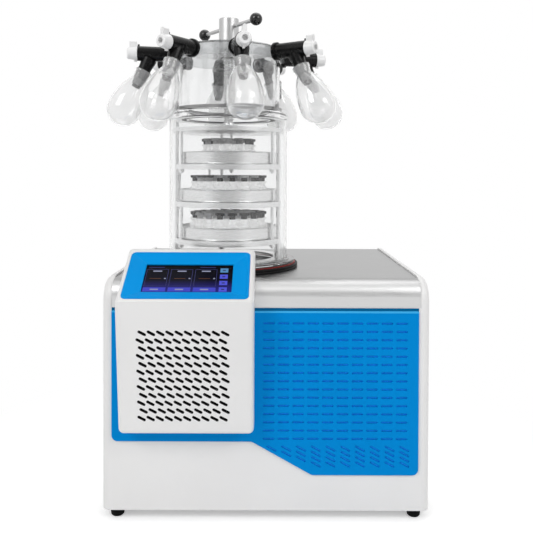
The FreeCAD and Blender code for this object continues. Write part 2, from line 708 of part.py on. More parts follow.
def bay(sketch, inset, past):
    """Plan of the space inside the wrap, with its rounded front corners."""
    side = f"(cabinet_width / 2 - wrap_wall - ({inset}))"
    front = f"(wrap_wall + ({inset}))"
    corner = f"(edge_round - wrap_wall - ({inset}))"
    outline(sketch, [
        (f"-{side} + {corner}", front), (f"{side} - {corner}", front, corner),
        (side, f"{front} + {corner}"), (side, f"cabinet_depth + ({past})"),
        (f"-{side}", f"cabinet_depth + ({past})"), (f"-{side}", f"{front} + {corner}", corner)])


def window_outline(sketch, inset):
    """The wrap's window behind the slots; it follows the panel's sloping edge."""
    fall = "((louvre_lip - louvre_low) / louvre_step_run)"
    margin = f"((louvre_margin + ({inset})) * sqrt(1 + {fall}^2))"
    left = f"louvre_step_x + louvre_corner + ({inset})"
    low = f"(louvre_low + louvre_corner + ({inset}))"
    right = f"louvre_right - louvre_corner - ({inset})"
    top = f"deck_front_low - 2 * louvre_corner - ({inset})"
    outline(sketch, [
        (left, f"louvre_lip + {margin} - {fall} * (louvre_corner + ({inset}))"),
        (f"louvre_step_x + (louvre_lip + {margin} - {low}) / {fall}", low),
        (right, low), (right, top), (left, top)])


def make_base_pan():
    body = cabinet_body("base_pan", "cabinet_bottom")
    plan = new_sketch(body, "XY_Plane")
    bay(plan, "panel_gap", "0")
    pad(body, plan, "sheet_wall")


def make_rear_panel():
    """Steel back with air slots and the holes for the port, the drain, the inlet and the switch."""
    body = cabinet_body("rear_panel")
    face = new_sketch(body, "XZ_Plane", "-cabinet_depth")
    reach = "cabinet_width / 2 - wrap_wall - panel_gap"
    rectangle(face, f"-({reach})", PAN_TOP, reach, "deck_height - rim_depth")
    pad(body, face, "sheet_wall")
    holes = new_sketch(body, "XZ_Plane", "-cabinet_depth")
    circle(holes, "pump_port_x", "pump_port_z", "pump_port_bore + pump_port_wall + panel_gap")
    circle(holes, "drain_x", "drain_z", "drain_tail + panel_gap")
    half_width = "(module_half - module_frame + panel_gap)"
    half_height = "(module_high - module_frame + panel_gap)"
    rectangle(holes, f"inlet_x - {half_width}", f"inlet_z - {half_height}",
              f"inlet_x + {half_width}", f"inlet_z + {half_height}")
    pocket(body, holes, "4 * sheet_wall", midplane=True)
    slot = new_sketch(body, "XZ_Plane", "-cabinet_depth")
    rectangle(slot, "air_slot_left", "air_slot_low", "air_slot_left + air_slot_length",
              "air_slot_low + air_slot_width")
    cut = pocket(body, slot, "4 * sheet_wall", midplane=True)
    linear_pattern(body, [cut], "Z_Axis", "air_slot_pitch_z", "air_slot_rows",
                   ("X_Axis", "air_slot_pitch_x", "air_slot_columns"))


def make_top_deck():
    """One bent sheet: flat top, rolled front edge, upright front and a folded-back foot."""
    body = cabinet_body("top_deck")
    side = new_sketch(body, "YZ_Plane")
    inner_roll = "deck_roll - sheet_wall"
    outline(side, [("0", "deck_front_low"), ("deck_foot", "deck_front_low"),
                   ("deck_foot", "deck_front_low + sheet_wall"),
                   ("sheet_wall", "deck_front_low + sheet_wall"),
                   ("sheet_wall", "deck_height - deck_roll", f"-({inner_roll})"),
                   ("deck_roll", "deck_height - sheet_wall"),
                   ("cabinet_depth - sheet_wall", "deck_height - sheet_wall"),
                   ("cabinet_depth - sheet_wall", "deck_height - rim_depth"),
                   ("cabinet_depth", "deck_height - rim_depth"),
                   ("cabinet_depth", "deck_height"),
                   ("deck_roll", "deck_height", "deck_roll"),
                   ("0", "deck_height - deck_roll")])
    pad(body, side, "cabinet_width - 2 * (rim_width + panel_gap)", midplane=True)
    hole = new_sketch(body, "XY_Plane", "deck_height")
    circle(hole, "chamber_x", "chamber_y", "trap_radius + trap_wall + panel_gap")
    pocket(body, hole, "2 * sheet_wall")


def louvre_edge(body):
    """The blue panel's outline, with its low right part and the rounded sloping step."""
    face = new_sketch(body, "XZ_Plane")
    corner = "louvre_corner"
    slope = "atan((louvre_lip - louvre_low) / louvre_step_run)"
    reach = f"(louvre_bend * tan({slope} / 2))"
    along, down = f"({reach} * cos({slope}))", f"({reach} * sin({slope}))"
    foot = "louvre_step_x + louvre_step_run"
    outline(face, [("louvre_left", "louvre_lip + louvre_corner", corner),
                   ("louvre_left + louvre_corner", "louvre_lip"),
                   (f"louvre_step_x - {reach}", "louvre_lip", "-louvre_bend"),
                   (f"louvre_step_x + {along}", f"louvre_lip - {down}"),
                   (f"{foot} - {along}", f"louvre_low + {down}", "louvre_bend"),
                   (f"{foot} + {reach}", "louvre_low"),
                   ("louvre_right - louvre_corner", "louvre_low", corner),
                   ("louvre_right", "louvre_low + louvre_corner"),
                   ("louvre_right", "louvre_top"),
                   ("louvre_left", "louvre_top")])
    return face


def slot_cutter(x, z, length, width, angle, depth):
    """A straight slot with round ends, turned down to the right; it cuts from y = -depth back."""
    size, radius = number(length), number(width) / 2
    turn = math.radians(number(angle))
    run = FreeCAD.Vector(math.cos(turn), 0, -math.sin(turn)) * (size / 2 - radius)
    side = FreeCAD.Vector(math.sin(turn), 0, math.cos(turn)) * radius
    centre = FreeCAD.Vector(number(x), -number(depth), number(z))
    tip = run * (radius / run.Length)
    low_left, low_right = centre - run - side, centre + run - side
    high_right, high_left = centre + run + side, centre - run + side
    wire = Part.Wire([
        Part.makeLine(low_left, low_right),
        Part.Arc(low_right, centre + run + tip, high_right).toShape(),
        Part.makeLine(high_right, high_left),
        Part.Arc(high_left, centre - run - tip, low_left).toShape()])
    return Part.Face(wire).extrude(FreeCAD.Vector(0, 2 * number(depth), 0))


def perforate(body, label, cutters):
    """Cuts a field of slots through a body; the cutters share the body's own frame."""
    body.Label = f"{label}_blank"
    field = document.addObject("Part::Feature", f"{label}_slots")
    field.Shape = Part.makeCompound(cutters)
    field.Placement = body.Placement
    cut = document.addObject("Part::Cut", label)
    cut.Label = label
    cut.Base = body
    cut.Tool = field


def make_louvre_panel():
    """Blue sheet with ten columns of level slots over a field of slanted ones, and a recessed
    strip along its top under a rounded edge."""
    body = cabinet_body("louvre_panel")
    pad(body, louvre_edge(body), "louvre_thick")
    step = new_sketch(body, "XZ_Plane", "louvre_thick")
    rectangle(step, "louvre_left - edge_margin", "louvre_top - louvre_strip",
              "louvre_right + edge_margin", "louvre_top + edge_margin")
    stepped = pocket(body, step, "louvre_step_in")
    brow = number("louvre_top - louvre_strip")
    front = -number("louvre_thick")

    def under_strip(edge):
        box = edge.BoundBox
        return (box.XLength > 1 and box.ZLength < 0.01 and abs(box.ZMin - brow) < 0.01
                and abs(box.YMin - front) < 0.01)

    fillet(body, stepped, edges_where(stepped, under_strip), "louvre_edge_round")
    cutters = []
    for column in range(10):
        x = f"louvre_left_slot + {column} * louvre_pitch_x"
        for row in range(15):
            cutters.append(slot_cutter(x, f"louvre_first_row - {row} * louvre_pitch_z",
                                       "louvre_slot_length", "louvre_slot_width", "0",
                                       "2 * louvre_thick"))
        for row in range(SLANTED_ROWS[column]):
            cutters.append(slot_cutter(f"{x} + slant_shift",
                                       f"slant_first_row - {row} * slant_pitch_z",
                                       "slant_length", "louvre_slot_width", "slant_angle",
                                       "2 * louvre_thick"))
    perforate(body, "louvre_panel", cutters)


def make_dust_filter():
    """Flat mat behind the slots, held in the wrap's window."""
    body = cabinet_body("dust_filter")
    face = new_sketch(body, "XZ_Plane", "-filter_thick")
    window_outline(face, "panel_gap")
    pad(body, face, "filter_thick")


def make_feet():
    body = cabinet_body("feet")
    inset_x = "(cabinet_width / 2 - foot_inset_x)"
    sketch = new_sketch(body, "XZ_Plane", "-foot_inset_y")
    outline(sketch, [(f"-{inset_x}", "0"), (f"-{inset_x} + foot_sole", "0"),
                     (f"-{inset_x} + foot_bevel", "foot_bevel_height"),
                     (f"-{inset_x} + foot_radius", "cabinet_bottom"), (f"-{inset_x}", "cabinet_bottom")])
    axis = axis_line(sketch, f"-{inset_x}", "0", f"-{inset_x}", "cabinet_bottom")
    foot = revolve(body, sketch, axis)
    linear_pattern(body, [foot], "X_Axis", f"2 * {inset_x}", 2,
                   ("Y_Axis", "cabinet_depth - 2 * foot_inset_y", 2))


# ---------------------------------------------------------------------------------------------
# Console
# ---------------------------------------------------------------------------------------------
def console_profile(inset, floor):
    """Side view of the console; inset is the wall taken off its outer faces, and floor is how
    far its lower edge lies above the console's."""
    lean = "((console_brow_out - console_foot_out) / (console_brow - console_bottom))"
    rise = f"({inset}) / cos({SLOPE})"
    brow = f"console_brow - ({inset}) * brow_lean"
    seat = "deck_roll + panel_gap"
    return [
        (f"-console_foot_out + ({inset}) - {lean} * ({floor})", f"console_bottom + ({floor})"),
        ("-louvre_thick - panel_gap", f"console_bottom + ({floor})"),
        ("-louvre_thick - panel_gap", "deck_height - deck_roll", f"-({seat} + louvre_thick)"),
        ("deck_roll", "deck_height + louvre_thick + panel_gap"),
        ("deck_roll", "deck_height + panel_gap"),
        (f"console_back - ({inset})", "deck_height + panel_gap"),
        (f"console_peak_in - ({inset})", "console_kink"),
        (f"console_peak_in - ({inset})", f"console_peak - ({inset}) * tan({SLOPE}) - {rise}"),
        (f"-console_brow_out + ({inset}) * (1 + {lean})", brow),
    ]


def make_console_housing():
    """Moulded pod: leaning front with slanted slots, sloping control face, hollow behind."""
    body = new_body("console_housing", f"{SHIFT_X} + {CONSOLE_X}", SHIFT_Y)
    side = new_sketch(body, "YZ_Plane")
    outline(side, console_profile("0", "0"))
    block = pad(body, side, "console_width", midplane=True)
    half = number("console_width") / 2
    low = number("console_bottom") + 0.1
    front = -number("console_foot_out") + 0.1

    def low_corner(edge):
        box = edge.BoundBox
        return box.XLength < 0.01 and box.ZMax < low and box.YLength > 1

    def outer_edge(edge):
        box = edge.BoundBox
        if box.XLength > 1 or box.ZMax < low + number("console_corner"):
            return box.ZMin < low + number("console_corner") and box.YMax < front
        on_side = abs(abs(box.XMin) - half) < 0.01
        return on_side and box.YMin < front and box.ZMax > low

    cornered = fillet(body, block, edges_where(block, low_corner), "console_corner")
    fillet(body, cornered, edges_where(cornered, outer_edge), "console_round")
    hollow = new_sketch(body, "YZ_Plane")
    outline(hollow, console_profile("console_wall", "console_corner"))
    pocket(body, hollow, "console_width - 2 * console_wall", midplane=True)
    heel = new_sketch(body, "YZ_Plane")
    rectangle(heel, "-console_foot_out + console_wall", "console_bottom + console_wall",
              "-louvre_thick - panel_gap", "console_bottom + console_corner + edge_margin")
    pocket(body, heel, "console_width - 2 * console_corner", midplane=True)
    face = slope_opening(body)
    pocket(body, face, "3 * console_wall", midplane=True)
    cutters = [slot_cutter(f"-console_width / 2 + slot_left + {column} * slot_pitch_x"
                           f" + {row % 2} * slot_shift",
                           f"console_bottom + slot_low + {row} * slot_pitch_z",
                           "slot_length", "slot_width", "slant_angle", "console_brow_out + cutter_past")
               for row in range(12) for column in range(10)]
    for cutter in cutters:
        cutter.translate(FreeCAD.Vector(0, -number("console_brow_out + cutter_past + 2 * louvre_thick"), 0))
    perforate(body, "console_housing", cutters)


def slope_opening(body):
    """Opening for the bezel, drawn on the sloping face."""
    sketch = new_sketch(body, "XY_Plane")
    sketch.AttachmentOffset = FreeCAD.Placement(
        FreeCAD.Vector(0, 0, 0), FreeCAD.Rotation(FreeCAD.Vector(1, 0, 0), 10))
    bind(sketch, AttachmentOffset__Base__y="-console_brow_out",
         AttachmentOffset__Base__z="console_brow", AttachmentOffset__Rotation__Angle=SLOPE)
    rounded_rectangle(sketch, "-console_width / 2 + bezel_side - panel_gap", "bezel_low - panel_gap",
                      "console_width / 2 - bezel_side + panel_gap",
                      f"{SLOPE_LENGTH} - bezel_high + panel_gap", "bezel_corner")
    return sketch


def slope_body(label, height="0"):
    """A body whose XY plane is the console's sloping face."""
    body = new_body(label, f"{SHIFT_X} + {CONSOLE_X}",
                    f"{SHIFT_Y} - console_brow_out - ({height}) * sin({SLOPE})",
                    f"console_brow + ({height}) * cos({SLOPE})")
    place = body.Placement
    place.Rotation = FreeCAD.Rotation(FreeCAD.Vector(1, 0, 0), 10)
    body.Placement = place
    bind(body, Placement__Rotation__Angle=SLOPE)
    return body


def make_console_bezel():
    """Blue frame that slopes in from a flat lip to the recessed screen."""
    body = slope_body("console_bezel", "slope_gap")
    plan = new_sketch(body, "XY_Plane", "-bezel_thick")
    side = "(console_width / 2 - bezel_side)"
    rounded_rectangle(plan, f"-{side}", "bezel_low", side, f"{SLOPE_LENGTH} - bezel_high",
                      "bezel_corner")
    pad(body, plan, "bezel_thick")
    wide = new_sketch(body, "XY_Plane")
    rectangle(wide, f"-{side} + bezel_lip", "bezel_low + bezel_lip", f"{side} - bezel_lip",
              f"{SLOPE_LENGTH} - bezel_high - bezel_lip")
    narrow = new_sketch(body, "XY_Plane", "-bezel_thick + 2")
    rectangle(narrow, "-screen_width / 2", "bezel_low + screen_low", "screen_width / 2",
              "bezel_low + screen_low + screen_height")
    funnel = body.newObject("PartDesign::SubtractiveLoft", "SubtractiveLoft")
    funnel.Profile = wide
    funnel.Sections = [narrow]
    through = new_sketch(body, "XY_Plane")
    rectangle(through, "-screen_width / 2", "bezel_low + screen_low", "screen_width / 2",
              "bezel_low + screen_low + screen_height")
    pocket(body, through, "2 * bezel_thick")


def make_touch_screen():
    body = slope_body("touch_screen", "slope_gap")
    plan = new_sketch(body, "XY_Plane", "-bezel_thick - screen_thick")
    rectangle(plan, "-screen_width / 2 - screen_side", "bezel_low + screen_low - screen_edge",
              "screen_width / 2 + screen_side",
              "bezel_low + screen_low + screen_height + screen_edge")
    pad(body, plan, "screen_thick")


# ---------------------------------------------------------------------------------------------
# Cold trap and refrigeration
# ---------------------------------------------------------------------------------------------
def make_cold_trap():
    """Stainless cup that hangs in the deck by its rim."""
    outer = "trap_radius + trap_wall"
    turned("cold_trap", "deck_height", [
        ("0", "-trap_depth - trap_wall"),
        (f"{outer} - trap_corner", "-trap_depth - trap_wall", "trap_corner"),
        (outer, "-trap_depth - trap_wall + trap_corner"), (outer, "0"), ("trap_flange", "0"),
        ("trap_flange", "trap_wall"), ("trap_radius", "trap_wall"),
        ("trap_radius", "-trap_depth + trap_corner - trap_wall", "-(trap_corner - trap_wall)"),
        ("trap_radius - trap_corner + trap_wall", "-trap_depth"), ("0", "-trap_depth")])


def make_evaporator_coil():
    """Turns of refrigerant tube round the trap, brazed to an upright header."""
    body = axis_body("evaporator_coil", "deck_height")
    reach = "(trap_radius + trap_wall + coil_tube + coil_play)"
    section = new_sketch(body, "XZ_Plane")
    circle(section, reach, "-trap_depth + 2 * coil_tube", "coil_tube")
    turn = revolve(body, section)
    linear_pattern(body, [turn], "Z_Axis", "coil_pitch", "coil_turns")
    header = new_sketch(body, "XY_Plane", "-trap_depth + coil_tube")
    circle(header, "0", f"{reach} + coil_tube", "coil_header")
    pad(body, header, "(coil_turns - 1) * coil_pitch + 2 * coil_tube")


def make_trap_insulation():
    inner = "trap_radius + trap_wall + 3 * coil_tube + 1"
    turned("trap_insulation", "deck_height - sheet_wall - panel_gap", [
        ("0", "-trap_depth - trap_wall - insulation_thick"),
        (f"{inner} + insulation_thick", "-trap_depth - trap_wall - insulation_thick"),
        (f"{inner} + insulation_thick", "0"), (inner, "0"),
        (inner, "-trap_depth - trap_wall + sheet_wall"), ("0", "-trap_depth - trap_wall + sheet_wall")])


def make_compressor():
    """Hermetic shell in two halves with a weld lip, and four feet on the pan."""
    body = new_body("compressor", f"{SHIFT_X} + compressor_x", f"{SHIFT_Y} + compressor_y", PAN_TOP)
    shell = new_sketch(body, "XZ_Plane")
    low, high, edge = "compressor_stand", "compressor_stand + compressor_height", "compressor_round"
    seam = "compressor_stand + compressor_seam"
    outline(shell, [
        ("0", low), (f"compressor_radius - {edge}", low, edge),
        ("compressor_radius", f"{low} + {edge}"), ("compressor_radius", seam),
        ("compressor_radius + compressor_lip", seam),
        ("compressor_radius + compressor_lip", f"{seam} + compressor_lip"),
        ("compressor_radius - compressor_step", f"{seam} + compressor_lip"),
        ("compressor_radius - compressor_step", f"{high} - {edge}", edge),
        (f"compressor_radius - compressor_step - {edge}", high), ("0", high)])
    revolve(body, shell)
    plate = new_sketch(body, "XY_Plane", "compressor_stand - foot_plate_low")
    circle(plate, "0", "0", "foot_plate_radius")
    pad(body, plate, "foot_plate_thick")
    foot = new_sketch(body, "XY_Plane")
    circle(foot, "compressor_foot_circle", "0", "compressor_foot_radius")
    leg = pad(body, foot, "compressor_stand")
    polar_pattern(body, [leg], "compressor_feet")


def make_condenser():
    """Finned block between two end plates, standing on a folded bracket."""
    body = cabinet_body("condenser")
    left = "condenser_x - condenser_width / 2"
    core = new_sketch(body, "XZ_Plane", "-condenser_y - condenser_thick + core_inset")
    rectangle(core, left, "condenser_stand + core_margin", f"{left} + condenser_width",
              "condenser_stand + condenser_height - core_margin")
    pad(body, core, "condenser_thick - 2 * core_inset")
    fin = new_sketch(body, "XZ_Plane", "-condenser_y - condenser_thick")
    rectangle(fin, left, "condenser_stand", f"{left} + fin_thick", "condenser_stand + condenser_height")
    blade = pad(body, fin, "condenser_thick")
    linear_pattern(body, [blade], "X_Axis", "(condenser_width - fin_thick) / (fin_count - 1)",
                   "fin_count")
    leg = new_sketch(body, "XZ_Plane", "-condenser_y - condenser_thick")
    for side in (left, f"{left} + condenser_width - fin_thick"):
        rectangle(leg, side, PAN_TOP, f"{side} + fin_thick", "condenser_stand + 1")
    pad(body, leg, "condenser_thick")


FAN_Y = "(condenser_y + condenser_thick)"
FAN_Z = "(condenser_stand + condenser_height / 2)"


def fan_body(label, y):
    """A body on the fan's axis; its own XZ plane faces the condenser."""
    return new_body(label, f"{SHIFT_X} + condenser_x", f"{SHIFT_Y} + {y}", FAN_Z)


def make_fan_shroud():
    """Plate with a round mouth, and the motor on three arms behind the blades."""
    body = fan_body("fan_shroud", FAN_Y)
    plate = new_sketch(body, "XZ_Plane", "-shroud_plate")
    rectangle(plate, "-condenser_width / 2", "-condenser_height / 2", "condenser_width / 2",
              "condenser_height / 2")
    circle(plate, "0", "0", "fan_radius + fan_gap")
    pad(body, plate, "shroud_plate")
    mouth = new_sketch(body, "XZ_Plane", "-shroud_thick")
    circle(mouth, "0", "0", "fan_radius + fan_gap + shroud_plate")
    circle(mouth, "0", "0", "fan_radius + fan_gap")
    pad(body, mouth, "shroud_thick")
    arms = new_sketch(body, "XZ_Plane", "-shroud_thick - arm_thick")
    rectangle(arms, "-fan_radius - fan_gap - shroud_plate", "-arm_half_width",
              "fan_radius + fan_gap + shroud_plate", "arm_half_width")
    pad(body, arms, "arm_thick")
    motor = new_sketch(body, "XZ_Plane", "-shroud_thick - arm_thick - motor_length")
    circle(motor, "0", "0", "motor_radius")
    pad(body, motor, "motor_length")
    shaft = new_sketch(body, "XZ_Plane", "-shroud_thick")
    circle(shaft, "0", "0", "shaft_radius")
    pad(body, shaft, "shaft_length")


def make_fan_blades():
    """Hub on the motor's shaft with five pitched blades."""
    body = fan_body("fan_blades", f"{FAN_Y} + fan_place")
    turn = FreeCAD.Rotation(FreeCAD.Vector(1, 0, 0), -90)
    body.Placement = FreeCAD.Placement(body.Placement.Base, turn)
    hub = new_sketch(body, "XZ_Plane")
    bore = "shaft_radius + slip"
    outline(hub, [(bore, "0"), ("fan_hub", "0"), ("fan_hub", "fan_hub_length"),
                  (bore, "fan_hub_length")])
    revolve(body, hub)
    blade = new_sketch(body, "YZ_Plane", "fan_hub - vane_root")
    high = "vane_low + vane_rise"
    outline(blade, [("-vane_reach", "vane_low"), ("-vane_reach + vane_thick", "vane_low"),
                    ("vane_reach", f"{high} - vane_thick"), ("vane_reach", high),
                    ("vane_reach - vane_thick", high), ("-vane_reach", "vane_low + vane_thick")])
    vane = pad(body, blade, "fan_radius - fan_hub + vane_root")
    polar_pattern(body, [vane], "vane_count")


# ---------------------------------------------------------------------------------------------
# Rear fittings
# ---------------------------------------------------------------------------------------------
def rear_body(label, x, z):
    """A body on the rear panel's outside, whose Z axis points away from the cabinet."""
    body = new_body(label, f"{SHIFT_X} + {x}", f"{SHIFT_Y} + cabinet_depth", z)
    body.Placement = FreeCAD.Placement(
        body.Placement.Base, FreeCAD.Rotation(FreeCAD.Vector(1, 0, 0), -90))
    return body


def rear_turned(label, x, z, profile):
    body = rear_body(label, x, z)
    sketch = new_sketch(body, "XZ_Plane")
    outline(sketch, profile)
    revolve(body, sketch)
    return body


def make_vacuum_port():
    """Pipe with a small vacuum flange and a plate behind the panel."""
    outer = "pump_port_bore + pump_port_wall"
    plate = f"{outer} + port_plate_margin"
    rear_turned("vacuum_port", "pump_port_x", "pump_port_z", [
        ("pump_port_bore", "-pump_port_inside"), (outer, "-pump_port_inside"),
        (outer, "-sheet_wall - port_plate_thick"), (plate, "-sheet_wall - port_plate_thick"),
        (plate, "-sheet_wall"), (outer, "-sheet_wall"),
        (outer, "pump_port_reach - 2 * pump_flange_thick"),
        ("pump_port_flange", "pump_port_reach - pump_flange_thick"),
        ("pump_port_flange", "pump_port_reach"), ("pump_port_bore", "pump_port_reach")])


def make_drain_valve_body():
    """Ball valve: threaded tail through the panel, round body and a hose end."""
    rear_turned("drain_valve_body", "drain_x", "drain_z", [
        ("drain_bore", "-drain_tail_length"), ("drain_tail", "-drain_tail_length"), ("drain_tail", "0"),
        ("drain_nut", "0"), ("drain_nut", "drain_nut_thick"),
        ("drain_body", "drain_nut_thick + drain_slope"), ("drain_body", "drain_body_end"),
        ("drain_neck", "drain_body_end + 2 * drain_slope"),
        ("drain_neck", "drain_reach - drain_barb_length - drain_slope"),
        ("drain_barb", "drain_reach - drain_barb_length"), ("drain_mouth", "drain_reach"),
        ("drain_bore", "drain_reach")])


def make_drain_valve_lever():
    """Flat lever on the valve's stem, along the pipe when it is open."""
    body = new_body("drain_valve_lever", f"{SHIFT_X} + drain_x",
                    f"{SHIFT_Y} + cabinet_depth + lever_place", "drain_z + drain_body + panel_gap")
    stem = new_sketch(body, "XY_Plane")
    circle(stem, "0", "0", "lever_stem")
    pad(body, stem, "lever_stem_height")
    plan = new_sketch(body, "XY_Plane", "lever_rise")
    outline(plan, [("0", "-lever_hub", "lever_hub + arc_ease"), ("0", "lever_hub"),
                   ("-lever_length", "lever_tip", "lever_tip + arc_ease"),
                   ("-lever_length", "-lever_tip")])
    pad(body, plan, "lever_thick")


def make_mains_inlet():
    """Inlet module: a recessed appliance inlet with three blades, and the frame of the switch."""
    body = rear_body("mains_inlet", "inlet_x", "inlet_z")
    flange = new_sketch(body, "XY_Plane")
    rounded_rectangle(flange, "-module_half", "-module_high", "module_half", "module_high",
                      "module_round")
    pad(body, flange, "module_lip")
    housing = new_sketch(body, "XY_Plane", "-module_depth")
    half_width, half_height = "(module_half - module_frame)", "(module_high - module_frame)"
    rectangle(housing, f"-{half_width}", f"-{half_height}", half_width, half_height)
    pad(body, housing, "module_depth + weld")
    well = new_sketch(body, "XY_Plane", "module_lip")
    rectangle(well, "well_left", "-well_high", "well_left + well_width", "well_high")
    pocket(body, well, "module_depth")
    blades = new_sketch(body, "XY_Plane", "module_lip - module_depth - weld")
    for column, rise in ((1, "pin_rise"), (2, "-pin_drop"), (3, "pin_rise")):
        x = f"well_left + {column} * well_width / 4"
        rectangle(blades, f"{x} - pin_half_width", f"{rise} - pin_half_height",
                  f"{x} + pin_half_width", f"{rise} + pin_half_height")
    pad(body, blades, "module_depth - pin_recess")
    seat = new_sketch(body, "XY_Plane", "module_lip")
    rectangle(seat, "rocker_x - rocker_half_width - panel_gap", "-rocker_half_length - rocker_play",
              "rocker_x + rocker_half_width + panel_gap", "rocker_half_length + rocker_play")
    pocket(body, seat, "module_depth - rocker_floor")


def make_power_rocker():
    """Rocker with two slightly hollow faces that meet over its pivot; it rests on one stop."""
    body = rear_body("power_rocker", "inlet_x + rocker_x", "inlet_z")
    bind(body, Placement__Rotation__Angle="90 - rocker_swing")
    side = new_sketch(body, "YZ_Plane")
    base = "(-module_lip - rocker_base)"
    outline(side, [("-rocker_half_length", "-rocker_drop"), ("-rocker_half_length / 2", base),
                   ("rocker_half_length / 2", base), ("rocker_half_length", "-rocker_drop"),
                   ("rocker_half_length", "module_lip + rocker_proud", "4 * rocker_half_length"),
                   ("0", "module_lip - rocker_dip", "4 * rocker_half_length"),
                   ("-rocker_half_length", "module_lip + rocker_proud")])
    pad(body, side, "2 * rocker_half_width", midplane=True)


# ---------------------------------------------------------------------------------------------
# Chamber
# ---------------------------------------------------------------------------------------------
def make_chamber_rings():
    bead = "((gasket_thick + trap_wall) / 2)"
    bead_arc = f"(({bead}^2 / 4 + gasket_lobe^2) / (2 * gasket_lobe))"
    turned("deck_gasket", "deck_height", [
        ("gasket_bore", "trap_wall"), ("trap_flange + panel_gap", "trap_wall"),
        ("trap_flange + panel_gap", "0"), ("gasket_radius - gasket_lobe", "0", bead_arc),
        ("gasket_radius - gasket_lobe", bead, bead_arc),
        ("gasket_radius - gasket_lobe", f"2 * {bead}"), ("gasket_bore", f"2 * {bead}")])
    ring("seal_ring", SEAL_LOW, "gasket_bore", "seal_radius", "seal_thick")
    inner, outer = "(tube_radius + panel_gap)", "(tube_radius + panel_gap + register_width)"
    turned("base_ring", BASE_LOW, [
        ("base_bore", "0"), ("base_radius", "0"), ("base_radius", "base_thick - base_edge"),
        ("base_radius - base_edge", "base_thick"), (outer, "base_thick"),
        (outer, "base_thick + register_height"), (inner, "base_thick + register_height"),
        (inner, "base_thick"), ("base_bore", "base_thick")])
    ring("drying_chamber", BASE_TOP, "tube_radius - tube_wall", "tube_radius",
         f"tube_top - {BASE_TOP}")
    seal_in, seal_out = (f"(flange_seal_radius {sign} flange_seal_width / 2)" for sign in "-+")
    ring("flange_gasket", FLANGE_LOW, seal_in, seal_out, "flange_seal")
    turned("drum_flange", FLANGE_LOW, [
        ("flange_bore", "0"), (f"{seal_in} - seal_room", "0"),
        (f"{seal_in} - seal_room", "flange_seal"), (f"{seal_out} + seal_room", "flange_seal"),
        (f"{seal_out} + seal_room", "0"), ("flange_radius", "0"),
        ("flange_radius", "flange_thick - flange_edge"),
        ("flange_radius - flange_edge", "flange_thick"), ("flange_bore", "flange_thick")])
    ring("drum_collar", COLLAR_LOW, "drum_radius - tube_wall", "collar_radius", "collar_thick")
    ring("upper_drum", DRUM_LOW, "drum_radius - tube_wall", "drum_radius", "drum_height")


def make_manifold_head():
    """Translucent ring and lid with eight stubs and the gland for the press screw."""
    body = axis_body("manifold_head", HEAD_LOW)
    shell = new_sketch(body, "XZ_Plane")
    bore = "screw_radius + screw_gap"
    outline(shell, [
        ("head_radius - head_wall", "0"), ("head_radius", "0"),
        ("head_radius", "head_height - head_edge", "head_edge"), ("head_radius - head_edge", "head_height"),
        (bore, "head_height"), (bore, "gland_rise"), ("hub_radius", "gland_rise"),
        ("hub_radius", "head_height - head_wall"),
        ("head_radius - head_wall", "head_height - head_wall")])
    revolve(body, shell)
    stub = new_sketch(body, "YZ_Plane", "head_radius - head_wall / 2")
    circle(stub, "0", "head_height - barrel_radius", "stub_radius")
    pipe = pad(body, stub, "stub_reach - head_radius + head_wall / 2")
    bore_face = new_sketch(body, "YZ_Plane", "head_radius - head_wall - 1")
    circle(bore_face, "0", "head_height - barrel_radius", "stub_radius - 2")
    hole = pocket(body, bore_face, "stub_reach - head_radius + head_wall + 2", back=True)
    polar_pattern(body, [pipe, hole], "port_count")
    turn_to_ports(body)


def turn_to_ports(body):
    """Turns a body made along +X so that it points at the first port."""
    place = body.Placement
    place.Rotation = FreeCAD.Rotation(FreeCAD.Vector(0, 0, 1), -90)
    body.Placement = place
    bind(body, Placement__Rotation__Angle="port_angle - 90")


def port_body(label):
    body = axis_body(label, PORT_LEVEL)
    turn_to_ports(body)
    return body


def along_outlet(across, along):
    """Place in the port's upright plane from a distance off and along the tilted outlet."""
    return (f"outlet_place + ({along}) * sin(outlet_tilt) + ({across}) * cos(outlet_tilt)",
            f"-({along}) * cos(outlet_tilt) + ({across}) * sin(outlet_tilt)")


def outlet_profile(sketch, points):
    """A profile given as (radius, distance down the outlet), and the line that it turns about."""
    outline(sketch, [along_outlet(*point[:2]) + tuple(point[2:]) for point in points])
    return axis_line(sketch, *along_outlet("0", "0"), *along_outlet("0", "outlet_length"))


